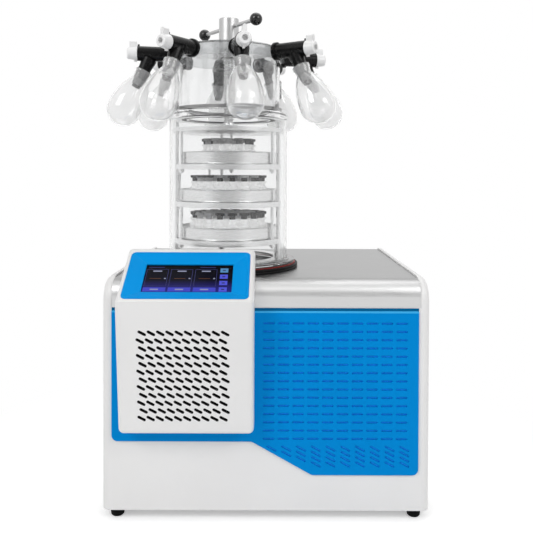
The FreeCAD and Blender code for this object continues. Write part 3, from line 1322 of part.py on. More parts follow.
def make_valve_bodies():
    """Rubber T-valves: collared barrel, tilted outlet and the tube that runs into the flask."""
    body = port_body("valve_bodies")
    barrel = new_sketch(body, "XZ_Plane")
    outline(barrel, [
        ("barrel_root", "stub_radius + slip"), ("stub_reach + stub_play", "stub_radius + slip"),
        ("stub_reach + stub_play", "valve_bore"), ("barrel_end", "valve_bore"),
        ("barrel_end", "barrel_radius"),
        ("barrel_root + barrel_collar_thick", "barrel_radius"),
        ("barrel_root + barrel_collar_thick", "barrel_collar"), ("barrel_root", "barrel_collar")])
    trunk = revolve(body, barrel, (part_of_origin(body, "X_Axis"), [""]))
    outlet = new_sketch(body, "XZ_Plane")
    axis = outlet_profile(outlet, [
        ("valve_bore", "outlet_start"), ("outlet_root", "outlet_start"),
        ("outlet_radius", "outlet_length - outlet_skirt"), ("outlet_radius", "outlet_length"),
        ("spigot_radius", "outlet_length"),
        ("spigot_radius", "spigot_end - tip_length"), ("tip_radius", "spigot_end - tip_length"),
        ("tip_radius", "spigot_end"), ("spigot_radius - 2", "spigot_end"),
        ("spigot_radius - 2", "outlet_step"), ("valve_bore", "outlet_step")])
    branch = revolve(body, outlet, axis)
    nib = new_sketch(body, "XY_Plane", "barrel_radius - 1")
    circle(nib, "barrel_end - nib_inset", "0", "nib_radius")
    peg = pad(body, nib, "nib_height")
    mouth = new_sketch(body, "YZ_Plane", "barrel_end")
    circle(mouth, "0", "0", "plug_radius + plug_gap")
    seat = pocket(body, mouth, "plug_depth")
    polar_pattern(body, [trunk, branch, peg, seat], "port_count")


def make_flask_joints():
    """Frosted tapered joints on the valve tubes."""
    body = port_body("flask_joints")
    sketch = new_sketch(body, "XZ_Plane")
    axis = outlet_profile(sketch, [
        ("spigot_radius + slip", "joint_top"), ("joint_wide", "joint_top"),
        ("joint_narrow", "joint_end"), ("spigot_radius + slip", "joint_end")])
    polar_pattern(body, [revolve(body, sketch, axis)], "port_count")


def make_flasks():
    """Pear-shaped glass flasks whose necks seat on the ground joints."""
    body = port_body("flasks")
    taper = "((joint_wide - joint_narrow) / (joint_end - joint_top))"
    mouth = "joint_top + joint_mouth"
    neck = f"(joint_wide + joint_gap - {taper} * (flask_neck_end - joint_top))"

    def shoulder(neck_radius, radius):
        """Radius of the shoulder that leaves the neck's end and meets the bulb at its equator."""
        drop = f"({radius} - {neck_radius})"
        return f"(({drop}^2 + (bulb_place - flask_neck_end)^2) / (2 * {drop}))"

    outer, inner = f"({neck} + flask_wall)", "(bulb_radius - flask_wall)"
    sketch = new_sketch(body, "XZ_Plane")
    axis = outlet_profile(sketch, [
        (f"joint_wide + joint_gap - {taper} * joint_mouth", mouth), ("flask_rim", mouth),
        ("flask_rim", f"{mouth} + flask_rim_thick"),
        (f"joint_wide + joint_gap + flask_wall - {taper} * flask_rim_thick",
         f"{mouth} + flask_rim_thick"),
        (outer, "flask_neck_end", f"-{shoulder(outer, 'bulb_radius')}"),
        ("bulb_radius", "bulb_place", "-bulb_radius"),
        ("0", "bulb_place + bulb_radius"),
        ("0", "bulb_place + bulb_radius - flask_wall", inner),
        (inner, "bulb_place", shoulder(neck, inner)), (neck, "flask_neck_end")])
    polar_pattern(body, [revolve(body, sketch, axis)], "port_count")


def make_valve_plug(index):
    """White plug with a winged knob; turning it opens or vents its port."""
    label = f"valve_plug_{index}"
    body = axis_body(label, PORT_LEVEL)
    place = body.Placement
    place.Rotation = FreeCAD.Rotation(FreeCAD.Vector(0, 0, 1), 30)
    body.Placement = place
    bind(body, Placement__Rotation__Angle=f"port_angle - 90 + {index - 1} * 360 / port_count")
    profile = new_sketch(body, "XZ_Plane")
    face = "barrel_end + knob_gap"
    end = f"{face} + knob_length"
    outline(profile, [
        ("barrel_end - plug_depth + weld", "0"), ("barrel_end - plug_depth + weld", "plug_radius"),
        (face, "plug_radius"), (face, "knob_radius"), (f"{end} - knob_edge", "knob_radius - knob_taper",
         "-knob_edge"),
        (end, "knob_radius - knob_taper - knob_edge"), (end, "knob_hole"),
        (f"{end} - knob_hole_depth", "knob_hole"), (f"{end} - knob_hole_depth", "0")])
    revolve(body, profile, (part_of_origin(body, "X_Axis"), [""]))
    wing = new_sketch(body, "YZ_Plane", face)
    outline(wing, [("-wing_width / 2", "knob_radius - wing_root"),
                   ("wing_width / 2", "knob_radius - wing_root"),
                   ("wing_width / 2", "wing_radius - wing_width / 2", "wing_width / 2 * wing_arc"),
                   ("-wing_width / 2", "wing_radius - wing_width / 2")])
    pad(body, wing, "wing_length")
    pip = new_sketch(body, "YZ_Plane", face)
    rectangle(pip, "-pip_width / 2", "-pip_radius", "pip_width / 2", "-knob_radius + wing_root")
    pad(body, pip, "pip_length")


# ---------------------------------------------------------------------------------------------
# Racks and press
# ---------------------------------------------------------------------------------------------
def rod_holes(body, thickness, low, hanger_level=None, hanger_gap="guide_gap"):
    """Cuts the guide rods' notches and a set of hanger holes through a plate."""
    holes = new_sketch(body, "XY_Plane", f"{low} + {thickness}")
    for angle in GUIDE_ANGLES:
        circle(holes, *polar("guide_circle", angle), "guide_radius + guide_gap")
    if hanger_level:
        for angle in HANGER_ANGLES[hanger_level]:
            circle(holes, *polar("hanger_circle", angle), f"hanger_radius + {hanger_gap}")
    pocket(body, holes, f"{thickness} + 1")


def add_hangers(body, level, thickness):
    """Three rods screwed into a plate's underside; they slide down through the shelf below."""
    drop = f"({PRESS_LOW} - {SHELF_TOPS[1]} + shelf_thick)" if level == 1 else "shelf_pitch"
    rods = new_sketch(body, "XY_Plane", f"-({drop}) - nut_thick - rod_end")
    nuts = new_sketch(body, "XY_Plane", f"-({drop}) - nut_thick")
    for angle in HANGER_ANGLES[level]:
        place = polar("hanger_circle", angle)
        circle(rods, *place, "hanger_radius")
        circle(nuts, *place, "nut_radius")
    pad(body, rods, f"{drop} + nut_thick + rod_end + {thickness} / 2")
    pad(body, nuts, "nut_thick")


def make_shelf(level):
    """Round plate notched for the guide rods and drilled for the hangers of the plate above."""
    body = axis_body(f"shelf_{level}", f"{SHELF_TOPS[level]} - shelf_thick")
    plate = new_sketch(body, "XY_Plane")
    circle(plate, "0", "0", "shelf_radius")
    pad(body, plate, "shelf_thick")
    rod_holes(body, "shelf_thick", "0", level)
    if level < 3:
        add_hangers(body, level + 1, "shelf_thick")


def make_tray(level):
    """Shallow round tray with a rolled rim."""
    turned(f"tray_{level}", SHELF_TOPS[level], [
        ("0", "0"), ("tray_radius - tray_corner", "0", "tray_corner"), ("tray_radius", "tray_corner"),
        ("tray_radius", "tray_height - 2"), ("tray_radius + 1", "tray_height - 1"),
        ("tray_radius", "tray_height"), ("tray_radius - tray_wall", "tray_height"),
        ("tray_radius - tray_wall", "tray_corner", "-(tray_corner - tray_wall)"),
        ("tray_radius - tray_corner", "tray_wall"), ("0", "tray_wall")])


def ringed(label, z, rings, profile):
    """Copies of a turned piece in rings of six, twelve and eighteen about one in the middle."""
    body = axis_body(label, z)
    for place in range(rings + 1):
        x = f"({place} * vial_pitch)"
        sketch = new_sketch(body, "XZ_Plane")
        outline(sketch, [(f"{x} + ({point[0]})",) + tuple(point[1:]) if place else point
                         for point in profile])
        axis = axis_line(sketch, x, "0", x, "vial_height")
        piece = revolve(body, sketch, axis)
        if place:
            polar_pattern(body, [piece], str(6 * place))


def make_vials(level):
    ringed(f"vials_{level}", f"{SHELF_TOPS[level]} + tray_wall", VIAL_RINGS[level], [
        ("0", "0"), ("vial_radius", "0"), ("vial_radius", "vial_body"),
        ("vial_neck", "vial_body + vial_shoulder"), ("vial_neck", "vial_height - vial_lip"),
        ("vial_mouth", "vial_height - vial_lip"), ("vial_mouth", "vial_height"), ("0", "vial_height")])


def make_stoppers(level):
    """Two-legged freeze-drying stoppers, standing half out of the vials."""
    ringed(f"stoppers_{level}", f"{SHELF_TOPS[level]} + tray_wall + vial_height",
           VIAL_RINGS[level], [
        ("0", "0"), ("vial_neck - vial_play", "0"), ("vial_neck - vial_play", "stopper_lift"),
        ("stopper_radius", "stopper_lift"), ("stopper_radius", "stopper_lift + stopper_flange"),
        ("0", "stopper_lift + stopper_flange")])


def make_rack_base():
    """Ring on the base, with the guide rods and their spacer sleeves under the lowest shelf."""
    body = axis_body("rack_base", BASE_TOP)
    plan = new_sketch(body, "XY_Plane")
    circle(plan, "0", "0", "tube_radius - tube_wall - 2")
    circle(plan, "0", "0", "trap_radius - rack_ring_inset")
    pad(body, plan, "rack_ring_thick")
    sleeves = new_sketch(body, "XY_Plane", "rack_ring_thick / 2")
    rods = new_sketch(body, "XY_Plane", "rack_ring_thick / 2")
    for angle in GUIDE_ANGLES:
        circle(sleeves, *polar("guide_circle", angle), "sleeve_radius")
        circle(rods, *polar("guide_circle", angle), "guide_radius")
    pad(body, sleeves, f"{SHELF_TOPS[3]} - shelf_thick - {BASE_TOP} - rack_ring_thick / 2")
    pad(body, rods, f"tube_top - rod_top - {BASE_TOP} - rack_ring_thick / 2")


def make_press_plate():
    body = axis_body("press_plate", PRESS_LOW)
    plate = new_sketch(body, "XY_Plane")
    circle(plate, "0", "0", "press_radius")
    pad(body, plate, "press_thick")
    rod_holes(body, "press_thick", "0")
    add_hangers(body, 1, "press_thick")


def make_press_screw():
    """Screw with a stepped foot; the hub turns on it and drives it down."""
    top = f"{HUB_TOP} - screw_end - {PRESS_TOP}"
    turned("press_screw", PRESS_TOP, [
        ("0", "0"), ("screw_foot_radius", "0"), ("screw_foot_radius", "foot_step"),
        ("screw_foot_radius - foot_step_in", "foot_step"),
        ("screw_foot_radius - foot_step_in", "screw_foot_thick + foot_boss"),
        ("screw_radius", "screw_foot_thick + foot_boss"),
        ("screw_radius", top), ("0", top)])


def turn_to_bar(body):
    place = body.Placement
    place.Rotation = FreeCAD.Rotation(FreeCAD.Vector(0, 0, 1), 30)
    body.Placement = place
    bind(body, Placement__Rotation__Angle="bar_angle - 90")


def make_press_hub():
    """Turning hub, bored for the screw, with the two arms of its bar."""
    body = axis_body("press_hub", HUB_LOW)
    profile = new_sketch(body, "XZ_Plane")
    bore = "screw_radius + screw_gap"
    outline(profile, [
        (bore, "0"), ("hub_radius", "0"), ("hub_radius", "hub_height - hub_edge"),
        ("hub_radius - hub_edge", "hub_height"), ("0", "hub_height"), ("0", "hub_height - hub_recess"),
        (bore, "hub_height - hub_recess")])
    revolve(body, profile)
    root = "(hub_radius - bar_root)"
    rod = new_sketch(body, "YZ_Plane", root)
    circle(rod, "0", "bar_height", "bar_radius")
    arm = pad(body, rod, f"bar_reach - ball_socket - {root}")
    polar_pattern(body, [arm], "2")
    turn_to_bar(body)


def make_ball_knobs():
    """Black balls drilled for the ends of the bar."""
    body = axis_body("ball_knobs", f"{HUB_LOW} + bar_height")
    sketch = new_sketch(body, "XZ_Plane")
    mouth = "sqrt(ball_radius^2 - bar_radius^2)"
    outline(sketch, [
        ("bar_reach + ball_radius", "0", "ball_radius"),
        (f"bar_reach - {mouth}", "bar_radius"),
        ("bar_reach - ball_socket", "bar_radius"), ("bar_reach - ball_socket", "0")])
    ball = revolve(body, sketch, (part_of_origin(body, "X_Axis"), [""]))
    polar_pattern(body, [ball], "2")
    turn_to_bar(body)


# ---------------------------------------------------------------------------------------------
# The whole object
# ---------------------------------------------------------------------------------------------
make_outer_wrap()
make_base_pan()
make_rear_panel()
make_top_deck()
make_louvre_panel()
make_dust_filter()
make_feet()
make_console_housing()
make_console_bezel()
make_touch_screen()
make_cold_trap()
make_evaporator_coil()
make_trap_insulation()
make_compressor()
make_condenser()
make_fan_shroud()
make_fan_blades()
make_vacuum_port()
make_drain_valve_body()
make_drain_valve_lever()
make_mains_inlet()
make_power_rocker()
make_chamber_rings()
make_manifold_head()
make_valve_bodies()
make_flask_joints()
make_flasks()
for index in range(1, 9):
    make_valve_plug(index)
for level in (1, 2, 3):
    make_shelf(level)
    make_tray(level)
    make_vials(level)
    make_stoppers(level)
make_rack_base()
make_press_plate()
make_press_screw()
make_press_hub()
make_ball_knobs()

document.recompute()
failed = [f"{item.Name} of {[owner.Label for owner in item.InListRecursive]}"
          for item in document.Objects if "Invalid" in item.State or "Error" in item.State]
if failed:
    raise ValueError("failed: " + ", ".join(failed))

nodes = [item for item in document.Objects
         if item.TypeId in ("PartDesign::Body", "Part::Cut") and not item.Label.endswith("_blank")]
for node in nodes:
    if node.Shape.isNull() or not node.Shape.isValid():
        raise ValueError(f"{node.Label} has no valid shape")
os.makedirs("parts", exist_ok=True)
for node in nodes:
    node.Shape.exportStep(f"parts/{node.Label}.step")
    box = node.Shape.BoundBox
    print(f"{node.Label:18s} {len(node.Shape.Solids):3d} solids {node.Shape.Volume / 1000:9.1f} cm3"
          f"  x {box.XMin:7.1f} {box.XMax:7.1f}  y {box.YMin:7.1f} {box.YMax:7.1f}"
          f"  z {box.ZMin:7.1f} {box.ZMax:7.1f}")
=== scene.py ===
import bmesh
import bpy
import math
from mathutils import Matrix, Vector


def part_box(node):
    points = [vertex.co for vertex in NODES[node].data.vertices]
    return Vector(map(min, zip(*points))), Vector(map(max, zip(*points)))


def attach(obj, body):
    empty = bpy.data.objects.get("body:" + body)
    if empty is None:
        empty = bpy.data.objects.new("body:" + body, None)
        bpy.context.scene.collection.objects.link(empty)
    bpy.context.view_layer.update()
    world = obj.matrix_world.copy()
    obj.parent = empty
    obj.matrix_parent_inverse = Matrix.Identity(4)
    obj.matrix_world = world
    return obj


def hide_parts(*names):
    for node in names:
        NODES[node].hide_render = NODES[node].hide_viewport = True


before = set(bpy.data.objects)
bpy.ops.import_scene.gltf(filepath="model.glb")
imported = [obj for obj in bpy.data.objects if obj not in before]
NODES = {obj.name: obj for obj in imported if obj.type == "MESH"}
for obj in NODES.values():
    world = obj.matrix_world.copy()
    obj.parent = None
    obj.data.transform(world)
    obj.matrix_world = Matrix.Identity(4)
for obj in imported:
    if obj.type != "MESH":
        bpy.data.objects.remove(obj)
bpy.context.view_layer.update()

# ---------------------------------------------------------------------------------------------
# Camera at the photograph's view
# ---------------------------------------------------------------------------------------------
PITCH_DOWN, ROLL = 0.8, -0.2

camera_data = bpy.data.cameras.new("camera")
camera_data.sensor_width = 36
camera_data.lens = 43.9
camera_data.shift_x = -0.0066
camera_data.shift_y = -0.1619
camera_data.clip_end = 50
camera = bpy.data.objects.new("camera", camera_data)
bpy.context.scene.collection.objects.link(camera)
camera.location = (0.0185, -1.4049, 0.6384)
camera.rotation_euler = (math.radians(90 - PITCH_DOWN), math.radians(ROLL), 0)
bpy.context.scene.camera = camera

# ---------------------------------------------------------------------------------------------
# Places taken from the frame
# ---------------------------------------------------------------------------------------------
# the chamber's axis, which the rack, the press and the manifold share; all lengths are in metres
tube_low, tube_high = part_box("drying_chamber")
AXIS = Vector(((tube_low[0] + tube_high[0]) / 2, (tube_low[1] + tube_high[1]) / 2, 0))

# vials and stoppers stand in rings: one in the middle, then 6 more in each ring than in the last
VIAL_PITCH = 0.0234
VIALS_A_RING = 6

# the manifold's ports, the first of which faces the front
PORTS = 8
PORT_TURN = math.radians(11.7)
PORT_REACH = 0.158
PORT_BELOW_TOP = 0.015
OUTLET_TILT = math.radians(26)
head_low, head_high = (corner[2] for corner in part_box("manifold_head"))
PORT_LEVEL = head_high - PORT_BELOW_TOP

# the console: an upright front that leans out to a brow, and a sloping face above it
POD_SLOPE_RISE, POD_SLOPE_RUN = 0.076, 0.120
POD_FOOT_IN = 0.030
pod_low, pod_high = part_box("console_housing")
POD_MIDDLE = (pod_low[0] + pod_high[0]) / 2
POD_BROW = pod_high[2] - POD_SLOPE_RISE
POD_LEAN = POD_FOOT_IN / (POD_BROW - pod_low[2])

# the console's slots, and the field of its front that holds them
SLOT_COLUMNS, SLOT_ROWS = 10, 12
SLOT_PITCH_X, SLOT_PITCH_Z, SLOT_SHIFT = 0.016, 0.0141, 0.0038
SLOT_LENGTH, SLOT_WIDTH, SLOT_ANGLE = 0.0150, 0.0040, math.radians(28)
FIRST_SLOT_X, FIRST_SLOT_Z = POD_MIDDLE - 0.077, pod_low[2] + 0.030
SLOT_SIDES = (pod_low[0] + 0.030, pod_high[0] - 0.030)
SLOT_ENDS = (pod_low[2] + 0.022, POD_BROW - 0.030)


def pod_front(z):
    """Y of the console's front at a height."""
    return pod_low[1] + POD_FOOT_IN - (z - pod_low[2]) * POD_LEAN


def port_frame(index):
    """Local +Z runs down port index's outlet from the barrel's axis, +X outward."""
    turn = PORT_TURN + index * math.tau / PORTS
    out = Vector((math.sin(turn), -math.cos(turn), 0))
    down = out * math.sin(OUTLET_TILT) + Vector((0, 0, -math.cos(OUTLET_TILT)))
    across = out * math.cos(OUTLET_TILT) + Vector((0, 0, math.sin(OUTLET_TILT)))
    side = down.cross(across)
    matrix = Matrix((across, side, down)).transposed().to_4x4()
    matrix.translation = AXIS + out * PORT_REACH + Vector((0, 0, PORT_LEVEL))
    return matrix


# ---------------------------------------------------------------------------------------------
# Materials
# ---------------------------------------------------------------------------------------------
class Nodes:
    """Adds and joins the nodes of one shader tree."""

    def __init__(self, tree):
        self.tree = tree

    def node(self, kind, **settings):
        """A new node; each setting is one of its properties, or else one of its inputs."""
        made = self.tree.nodes.new("ShaderNode" + kind)
        for key, value in settings.items():
            if hasattr(made, key):
                setattr(made, key, value)
            else:
                made.inputs[key.replace("_", " ")].default_value = value
        return made

    def link(self, start, end):
        self.tree.links.new(start, end)

    def calculate(self, operation, *values):
        """A Math node's result; each value is a number or another node's output."""
        made = self.node("Math", operation=operation)
        for socket, value in zip(made.inputs, values):
            if isinstance(value, (int, float)):
                socket.default_value = value
            else:
                self.link(value, socket)
        return made.outputs[0]

    def split(self, vector):
        """The X, Y and Z outputs of a vector."""
        made = self.node("SeparateXYZ")
        self.link(vector, made.inputs["Vector"])
        return made.outputs

    def ranged(self, source, start, end, low=0.0, high=1.0, **settings):
        """Maps start..end of a source to low..high."""
        made = self.node("MapRange", From_Min=start, From_Max=end, To_Min=low, To_Max=high, **settings)
        self.link(source, made.inputs["Value"])
        return made.outputs["Result"]

    def through_light_path(self, output, plain, seen):
        """Shows one shader to camera, glossy and transmission rays, and a plain one to the others."""
        path = self.node("LightPath").outputs
        looking = self.calculate("MAXIMUM", path["Is Camera Ray"], path["Is Glossy Ray"])
        looking = self.calculate("MAXIMUM", looking, path["Is Transmission Ray"])
        mix = self.node("MixShader")
        for source, socket in zip((looking, plain, seen), mix.inputs):
            self.link(source, socket)
        self.link(mix.outputs[0], self.tree.nodes[output].inputs["Surface"])


class Finish(Nodes):
    """A node material built round one Principled shader."""

    def __init__(self, name, **sockets):
        self.material = bpy.data.materials.new(name)
        self.material.use_nodes = True
        super().__init__(self.material.node_tree)
        self.shader = self.tree.nodes["Principled BSDF"]
        self.material.diffuse_color = tuple(sockets.get("Base_Color", (0.8, 0.8, 0.8)))[:3] + (1,)
        for socket, value in sockets.items():
            if socket in ("Base_Color", "Emission_Color"):
                value = tuple(value)[:3] + (1,)
            self.shader.inputs[socket.replace("_", " ")].default_value = value
        self.place = self.node("TexCoord").outputs["Object"]
        self.normal = None

    def stretched(self, scale):
        """The place, scaled along each axis."""
        mapping = self.node("Mapping", Scale=scale)
        self.link(self.place, mapping.inputs["Vector"])
        return mapping.outputs["Vector"]

    def noise(self, scale, detail=3.0, stretch=(1, 1, 1)):
        """Cloudy noise from 0 to 1."""
        cloud = self.node("TexNoise", Scale=scale, Detail=detail, Roughness=0.5)
        self.link(self.stretched(stretch), cloud.inputs["Vector"])
        return cloud.outputs["Fac"]

    def spread(self, source, low, high, socket, start=0.3, end=0.7):
        """Drives a number socket between low and high."""
        self.link(self.ranged(source, start, end, low, high), self.shader.inputs[socket])
        return self

    def tint(self, source, stops, socket="Base Color"):
        """Drives a colour socket from a ramp of (place, colour) stops."""
        ramp = self.node("ValToRGB")
        points = ramp.color_ramp.elements
        while len(points) < len(stops):
            points.new(0.5)
        for point, (where, colour) in zip(points, stops):
            point.position = where
            point.color = tuple(colour) + (1,)
        self.link(source, ramp.inputs["Fac"])
        self.link(ramp.outputs["Color"], self.shader.inputs[socket])
        return self

    def paint(self, share, colour):
        """Lays another colour over the base colour by a share."""
        base = self.shader.inputs["Base Color"]
        mix = self.node("MixRGB")
        self.link(share, mix.inputs[0])
        self.link(base.links[0].from_socket, mix.inputs[1])
        mix.inputs[2].default_value = tuple(colour) + (1,)
        self.link(mix.outputs[0], base)
        return self

    def block(self, low, high, colour, lean=0.0):
        """Paints what lies inside a box, whose Y is measured along a plane that leans with Z."""
        place = self.split(self.place)
        depth = self.calculate("ADD", place["Y"], self.calculate("MULTIPLY", place["Z"], lean))
        share = None
        for source, start, end in zip((place["X"], depth, place["Z"]), low, high):
            inside = self.calculate("COMPARE", source, (start + end) / 2, (end - start) / 2)
            share = self.calculate("MULTIPLY", share, inside) if share else inside
        return self.paint(share, colour)

    def below(self, low, high, colour):
        """Fades the base colour to another one below a height."""
        return self.paint(self.ranged(self.split(self.place)["Z"], low, high, 1.0, 0.0), colour)

    def edges(self, radius):
        """Softens sharp edges by that radius when they catch the light."""
        bevel = self.node("Bevel", samples=4, Radius=radius)
        self.normal = bevel.outputs["Normal"]
        self.link(self.normal, self.shader.inputs["Normal"])
        return self

    def bump(self, source, strength, distance):
        """Roughens the surface by a height, on top of the softened edges."""
        bump = self.node("Bump", Strength=strength, Distance=distance)
        self.link(source, bump.inputs["Height"])
        if self.normal:
            self.link(self.normal, bump.inputs["Normal"])
        self.normal = bump.outputs["Normal"]
        self.link(self.normal, self.shader.inputs["Normal"])
        return self


def shade(colour, factor):
    """The same hue, darker or lighter."""
    return tuple(channel * factor for channel in colour)


def moulding(name, colour, rough=0.35, grain=900, shine=0.4):
    """Plastic or paint with a fine grain."""
    finish = Finish(name, Base_Color=colour, Specular_IOR_Level=shine)
    finish.tint(finish.noise(7, 4), [(0.3, shade(colour, 0.965)), (0.7, colour)])
    finish.spread(finish.noise(60, 5), rough - 0.05, rough + 0.07, "Roughness")
    finish.edges(0.0012)
    return finish.bump(finish.noise(grain, 2), 0.12, 0.0002)


def brushed(name, colour, rough=0.27, stretch=(3, 220, 220), depth=0.25):
    """Metal with brush or tool marks along the axes whose stretch is small."""
    finish = Finish(name, Base_Color=colour, Metallic=1.0)
    finish.tint(finish.noise(14, 6, stretch), [(0.3, shade(colour, 0.86)), (0.7, colour)])
    finish.spread(finish.noise(9, 5, stretch), rough - 0.07, rough + 0.12, "Roughness")
    finish.edges(0.0006)
    return finish.bump(finish.noise(16, 3, stretch), depth, 0.0001)


def clear(name, colour, ior, rough=0.0, through=1.0, **more):
    """Glass, acrylic or water; through is the share of light that passes."""
    finish = Finish(name, Base_Color=colour, Transmission_Weight=through, IOR=ior, **more)
    return finish.spread(finish.noise(11, 4), rough, rough + 0.025, "Roughness")


def black_rubber(name, rough=0.4, level=0.005, shine=0.3):
    """Black rubber or plastic, mottled and matt."""
    colour = (level, level, level * 1.05)
    finish = Finish(name, Base_Color=colour, Specular_IOR_Level=shine)
    finish.tint(finish.noise(40, 4), [(0.3, shade(colour, 0.7)), (0.75, shade(colour, 1.5))])
    finish.spread(finish.noise(90, 5), rough - 0.08, rough + 0.12, "Roughness")
    finish.edges(0.0008)
    return finish.bump(finish.noise(1400, 2), 0.15, 0.0002)


def stopper_tones(finish, outer_ring):
    """Gives each stopper of the outer ring its own grey; the inner rings are light grey."""
    place = finish.split(finish.place)
    east = finish.calculate("SUBTRACT", place["X"], AXIS.x)
    north = finish.calculate("SUBTRACT", place["Y"], AXIS.y)
    square = finish.calculate("ADD", finish.calculate("MULTIPLY", east, east),
                              finish.calculate("MULTIPLY", north, north))
    reach = finish.calculate("SQRT", square)
    ring = finish.calculate("ROUND", finish.calculate("DIVIDE", reach, VIAL_PITCH))
    turn = finish.calculate("DIVIDE", finish.calculate("ARCTAN2", north, east), math.tau)
    count = finish.calculate("MULTIPLY", ring, VIALS_A_RING)
    spot = finish.calculate("ROUND", finish.calculate("MULTIPLY", turn, count))
    levels_a_metre = 12
    level = finish.calculate("ROUND", finish.calculate("MULTIPLY", place["Z"], levels_a_metre))
    corner = finish.node("CombineXYZ")
    for axis, value in zip("XYZ", (ring, spot, level)):
        finish.link(value, corner.inputs[axis])
    chance = finish.node("TexWhiteNoise")
    finish.link(corner.outputs["Vector"], chance.inputs["Vector"])
    inner = finish.calculate("LESS_THAN", ring, outer_ring - 0.5)
    finish.tint(finish.calculate("MAXIMUM", chance.outputs["Value"], inner),
                [(0.0, (0.005, 0.005, 0.005)), (0.5, (0.018, 0.018, 0.019)),
                 (0.8, (0.10, 0.10, 0.105)), (1.0, (0.50, 0.50, 0.505))])


# --- mouldings and painted parts ---
WHITE = moulding("white_moulding", (0.815, 0.81, 0.805))
HOUSING = moulding("console_moulding", (0.81, 0.805, 0.80))
BLUE = moulding("blue_panel", (0.0006, 0.245, 0.66), 0.42, shine=0.02)
BEZEL = moulding("bezel_blue", (0.001, 0.30, 0.76), 0.34, shine=0.04)
# the bezel's mitre lines are a lighter blue, a painted highlight where the facets meet
MITRE_HIGHLIGHT = moulding("mitre_painted_highlight", (0.012, 0.40, 0.86), 0.34, shine=0.1)
SHEET = moulding("painted_sheet", (0.42, 0.43, 0.44), 0.42, 500)
CAKE = moulding("dried_product", (0.93, 0.93, 0.92), 0.8, 1500, 0.1)
RED = moulding("red_seal", (0.33, 0.015, 0.012), 0.5)
KNOB = moulding("knob_white", (0.82, 0.82, 0.82), 0.3)
DARK = moulding("dark_plastic", (0.016, 0.016, 0.018), 0.4)
ENAMEL = moulding("black_enamel", (0.014, 0.014, 0.015), 0.3)

# painted shade in the recess along the blue panel's top, with a painted highlight line under it
panel_low, panel_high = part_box("louvre_panel")
margin = 0.001
for top, bottom, colour in ((0.0, 0.0050, (0.002, 0.115, 0.27)), (0.0050, 0.0085, (0.05, 0.42, 0.80))):
    BLUE.block((panel_low[0] - margin, panel_low[1] - margin, panel_high[2] - bottom),
               (panel_high[0] + margin, panel_high[1] + margin, panel_high[2] - top), colour)

# painted shade: black on the walls in the console's slots, from just behind its front
HOUSING.block((SLOT_SIDES[0], pod_front(0) + 0.0003, SLOT_ENDS[0]),
              (SLOT_SIDES[1], pod_front(0) + 0.0060, SLOT_ENDS[1]), (0.004, 0.004, 0.004), POD_LEAN)

# --- metals ---
DECK = brushed("deck_steel", (0.41, 0.41, 0.41), 0.34, (3, 260, 260))
STEEL = brushed("turned_steel", (0.88, 0.88, 0.88), 0.24, (150, 150, 5), 0.2)
PLATE = brushed("plate_steel", (0.92, 0.92, 0.92), 0.28, (4, 4, 300))
LATHE = brushed("lathe_steel", (0.55, 0.55, 0.55), 0.22, (6, 6, 420), 0.2)
COLLAR = brushed("collar_steel", (0.34, 0.34, 0.34), 0.30, (6, 6, 420), 0.2)
HUB = brushed("hub_steel", (0.56, 0.56, 0.56), 0.38, (6, 6, 420), 0.2)
THREAD = brushed("thread_steel", (0.72, 0.72, 0.72), 0.24, (6, 6, 200), 0.2)
TRAY = brushed("tray_steel", (0.88, 0.88, 0.88), 0.24, (5, 5, 500), 0.25)
COPPER = brushed("copper_tube", (0.75, 0.36, 0.22), 0.3, (90, 90, 90))
BRASS = brushed("brass_body", (0.72, 0.52, 0.24), 0.3, (60, 60, 60))
FINS = brushed("condenser_fins", (0.62, 0.63, 0.64), 0.4, (60, 60, 60))

# painted reflection: the deck's rolled front is painted paler than its flat top, for the brighter
# light it reflects
deck_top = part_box("top_deck")[1][2]
DECK.below(deck_top - 0.016, deck_top - 0.003, (0.74, 0.74, 0.74))

# --- clear parts ---
ACRYLIC = clear("clear_acrylic", (0.972, 0.975, 0.976), 1.49, through=0.97)
HAZY = clear("grey_acrylic", (0.85, 0.86, 0.865), 1.3, 0.04, through=0.85)
GLASS = clear("clear_glass", (0.985, 0.985, 0.985), 1.2, 0.005, through=0.88, Coat_Weight=0.7)
# the vials glow faintly white, a painted light that brightens them behind the clear chamber wall
VIAL = clear("vial_glass", (0.98, 0.98, 0.98), 1.2, through=0.3,
             Emission_Color=(1, 1, 1), Emission_Strength=0.14)
LIQUID = clear("clear_liquid", (0.98, 0.99, 0.995), 1.33)

# --- rubber and black plastic ---
RUBBER = black_rubber("valve_rubber", 0.24, 0.004, 0.18)
GASKET = black_rubber("gasket_rubber", 0.45, 0.004, 0.12)
FEET = black_rubber("foot_rubber", 0.6, 0.006, 0.05)
BALL = black_rubber("ball_plastic", 0.12, shine=0.5)
STOPPER = black_rubber("stopper_rubber", 0.6, 0.035, 0.05)
FEW_STOPPERS = black_rubber("upper_stopper_rubber", 0.6, 0.035, 0.05)
stopper_tones(STOPPER, 3)
stopper_tones(FEW_STOPPERS, 2)

# --- ground glass, foam, filter mat and the display's glass ---
FROSTED = Finish("ground_joint", Base_Color=(0.24, 0.245, 0.245), Transmission_Weight=0.30, IOR=1.3)
FROSTED.tint(FROSTED.noise(50, 4), [(0.3, (0.16, 0.163, 0.163)), (0.7, (0.30, 0.305, 0.305))])
FROSTED.spread(FROSTED.noise(300, 4), 0.45, 0.6, "Roughness")
FROSTED.bump(FROSTED.noise(1800, 2), 0.25, 0.0002)

FOAM = Finish("insulation_foam", Base_Color=(0.5, 0.44, 0.28), Roughness=0.9)
FOAM.tint(FOAM.noise(60, 6), [(0.3, (0.42, 0.36, 0.22)), (0.7, (0.56, 0.5, 0.33))])
FOAM.bump(FOAM.noise(240, 5), 0.6, 0.001)

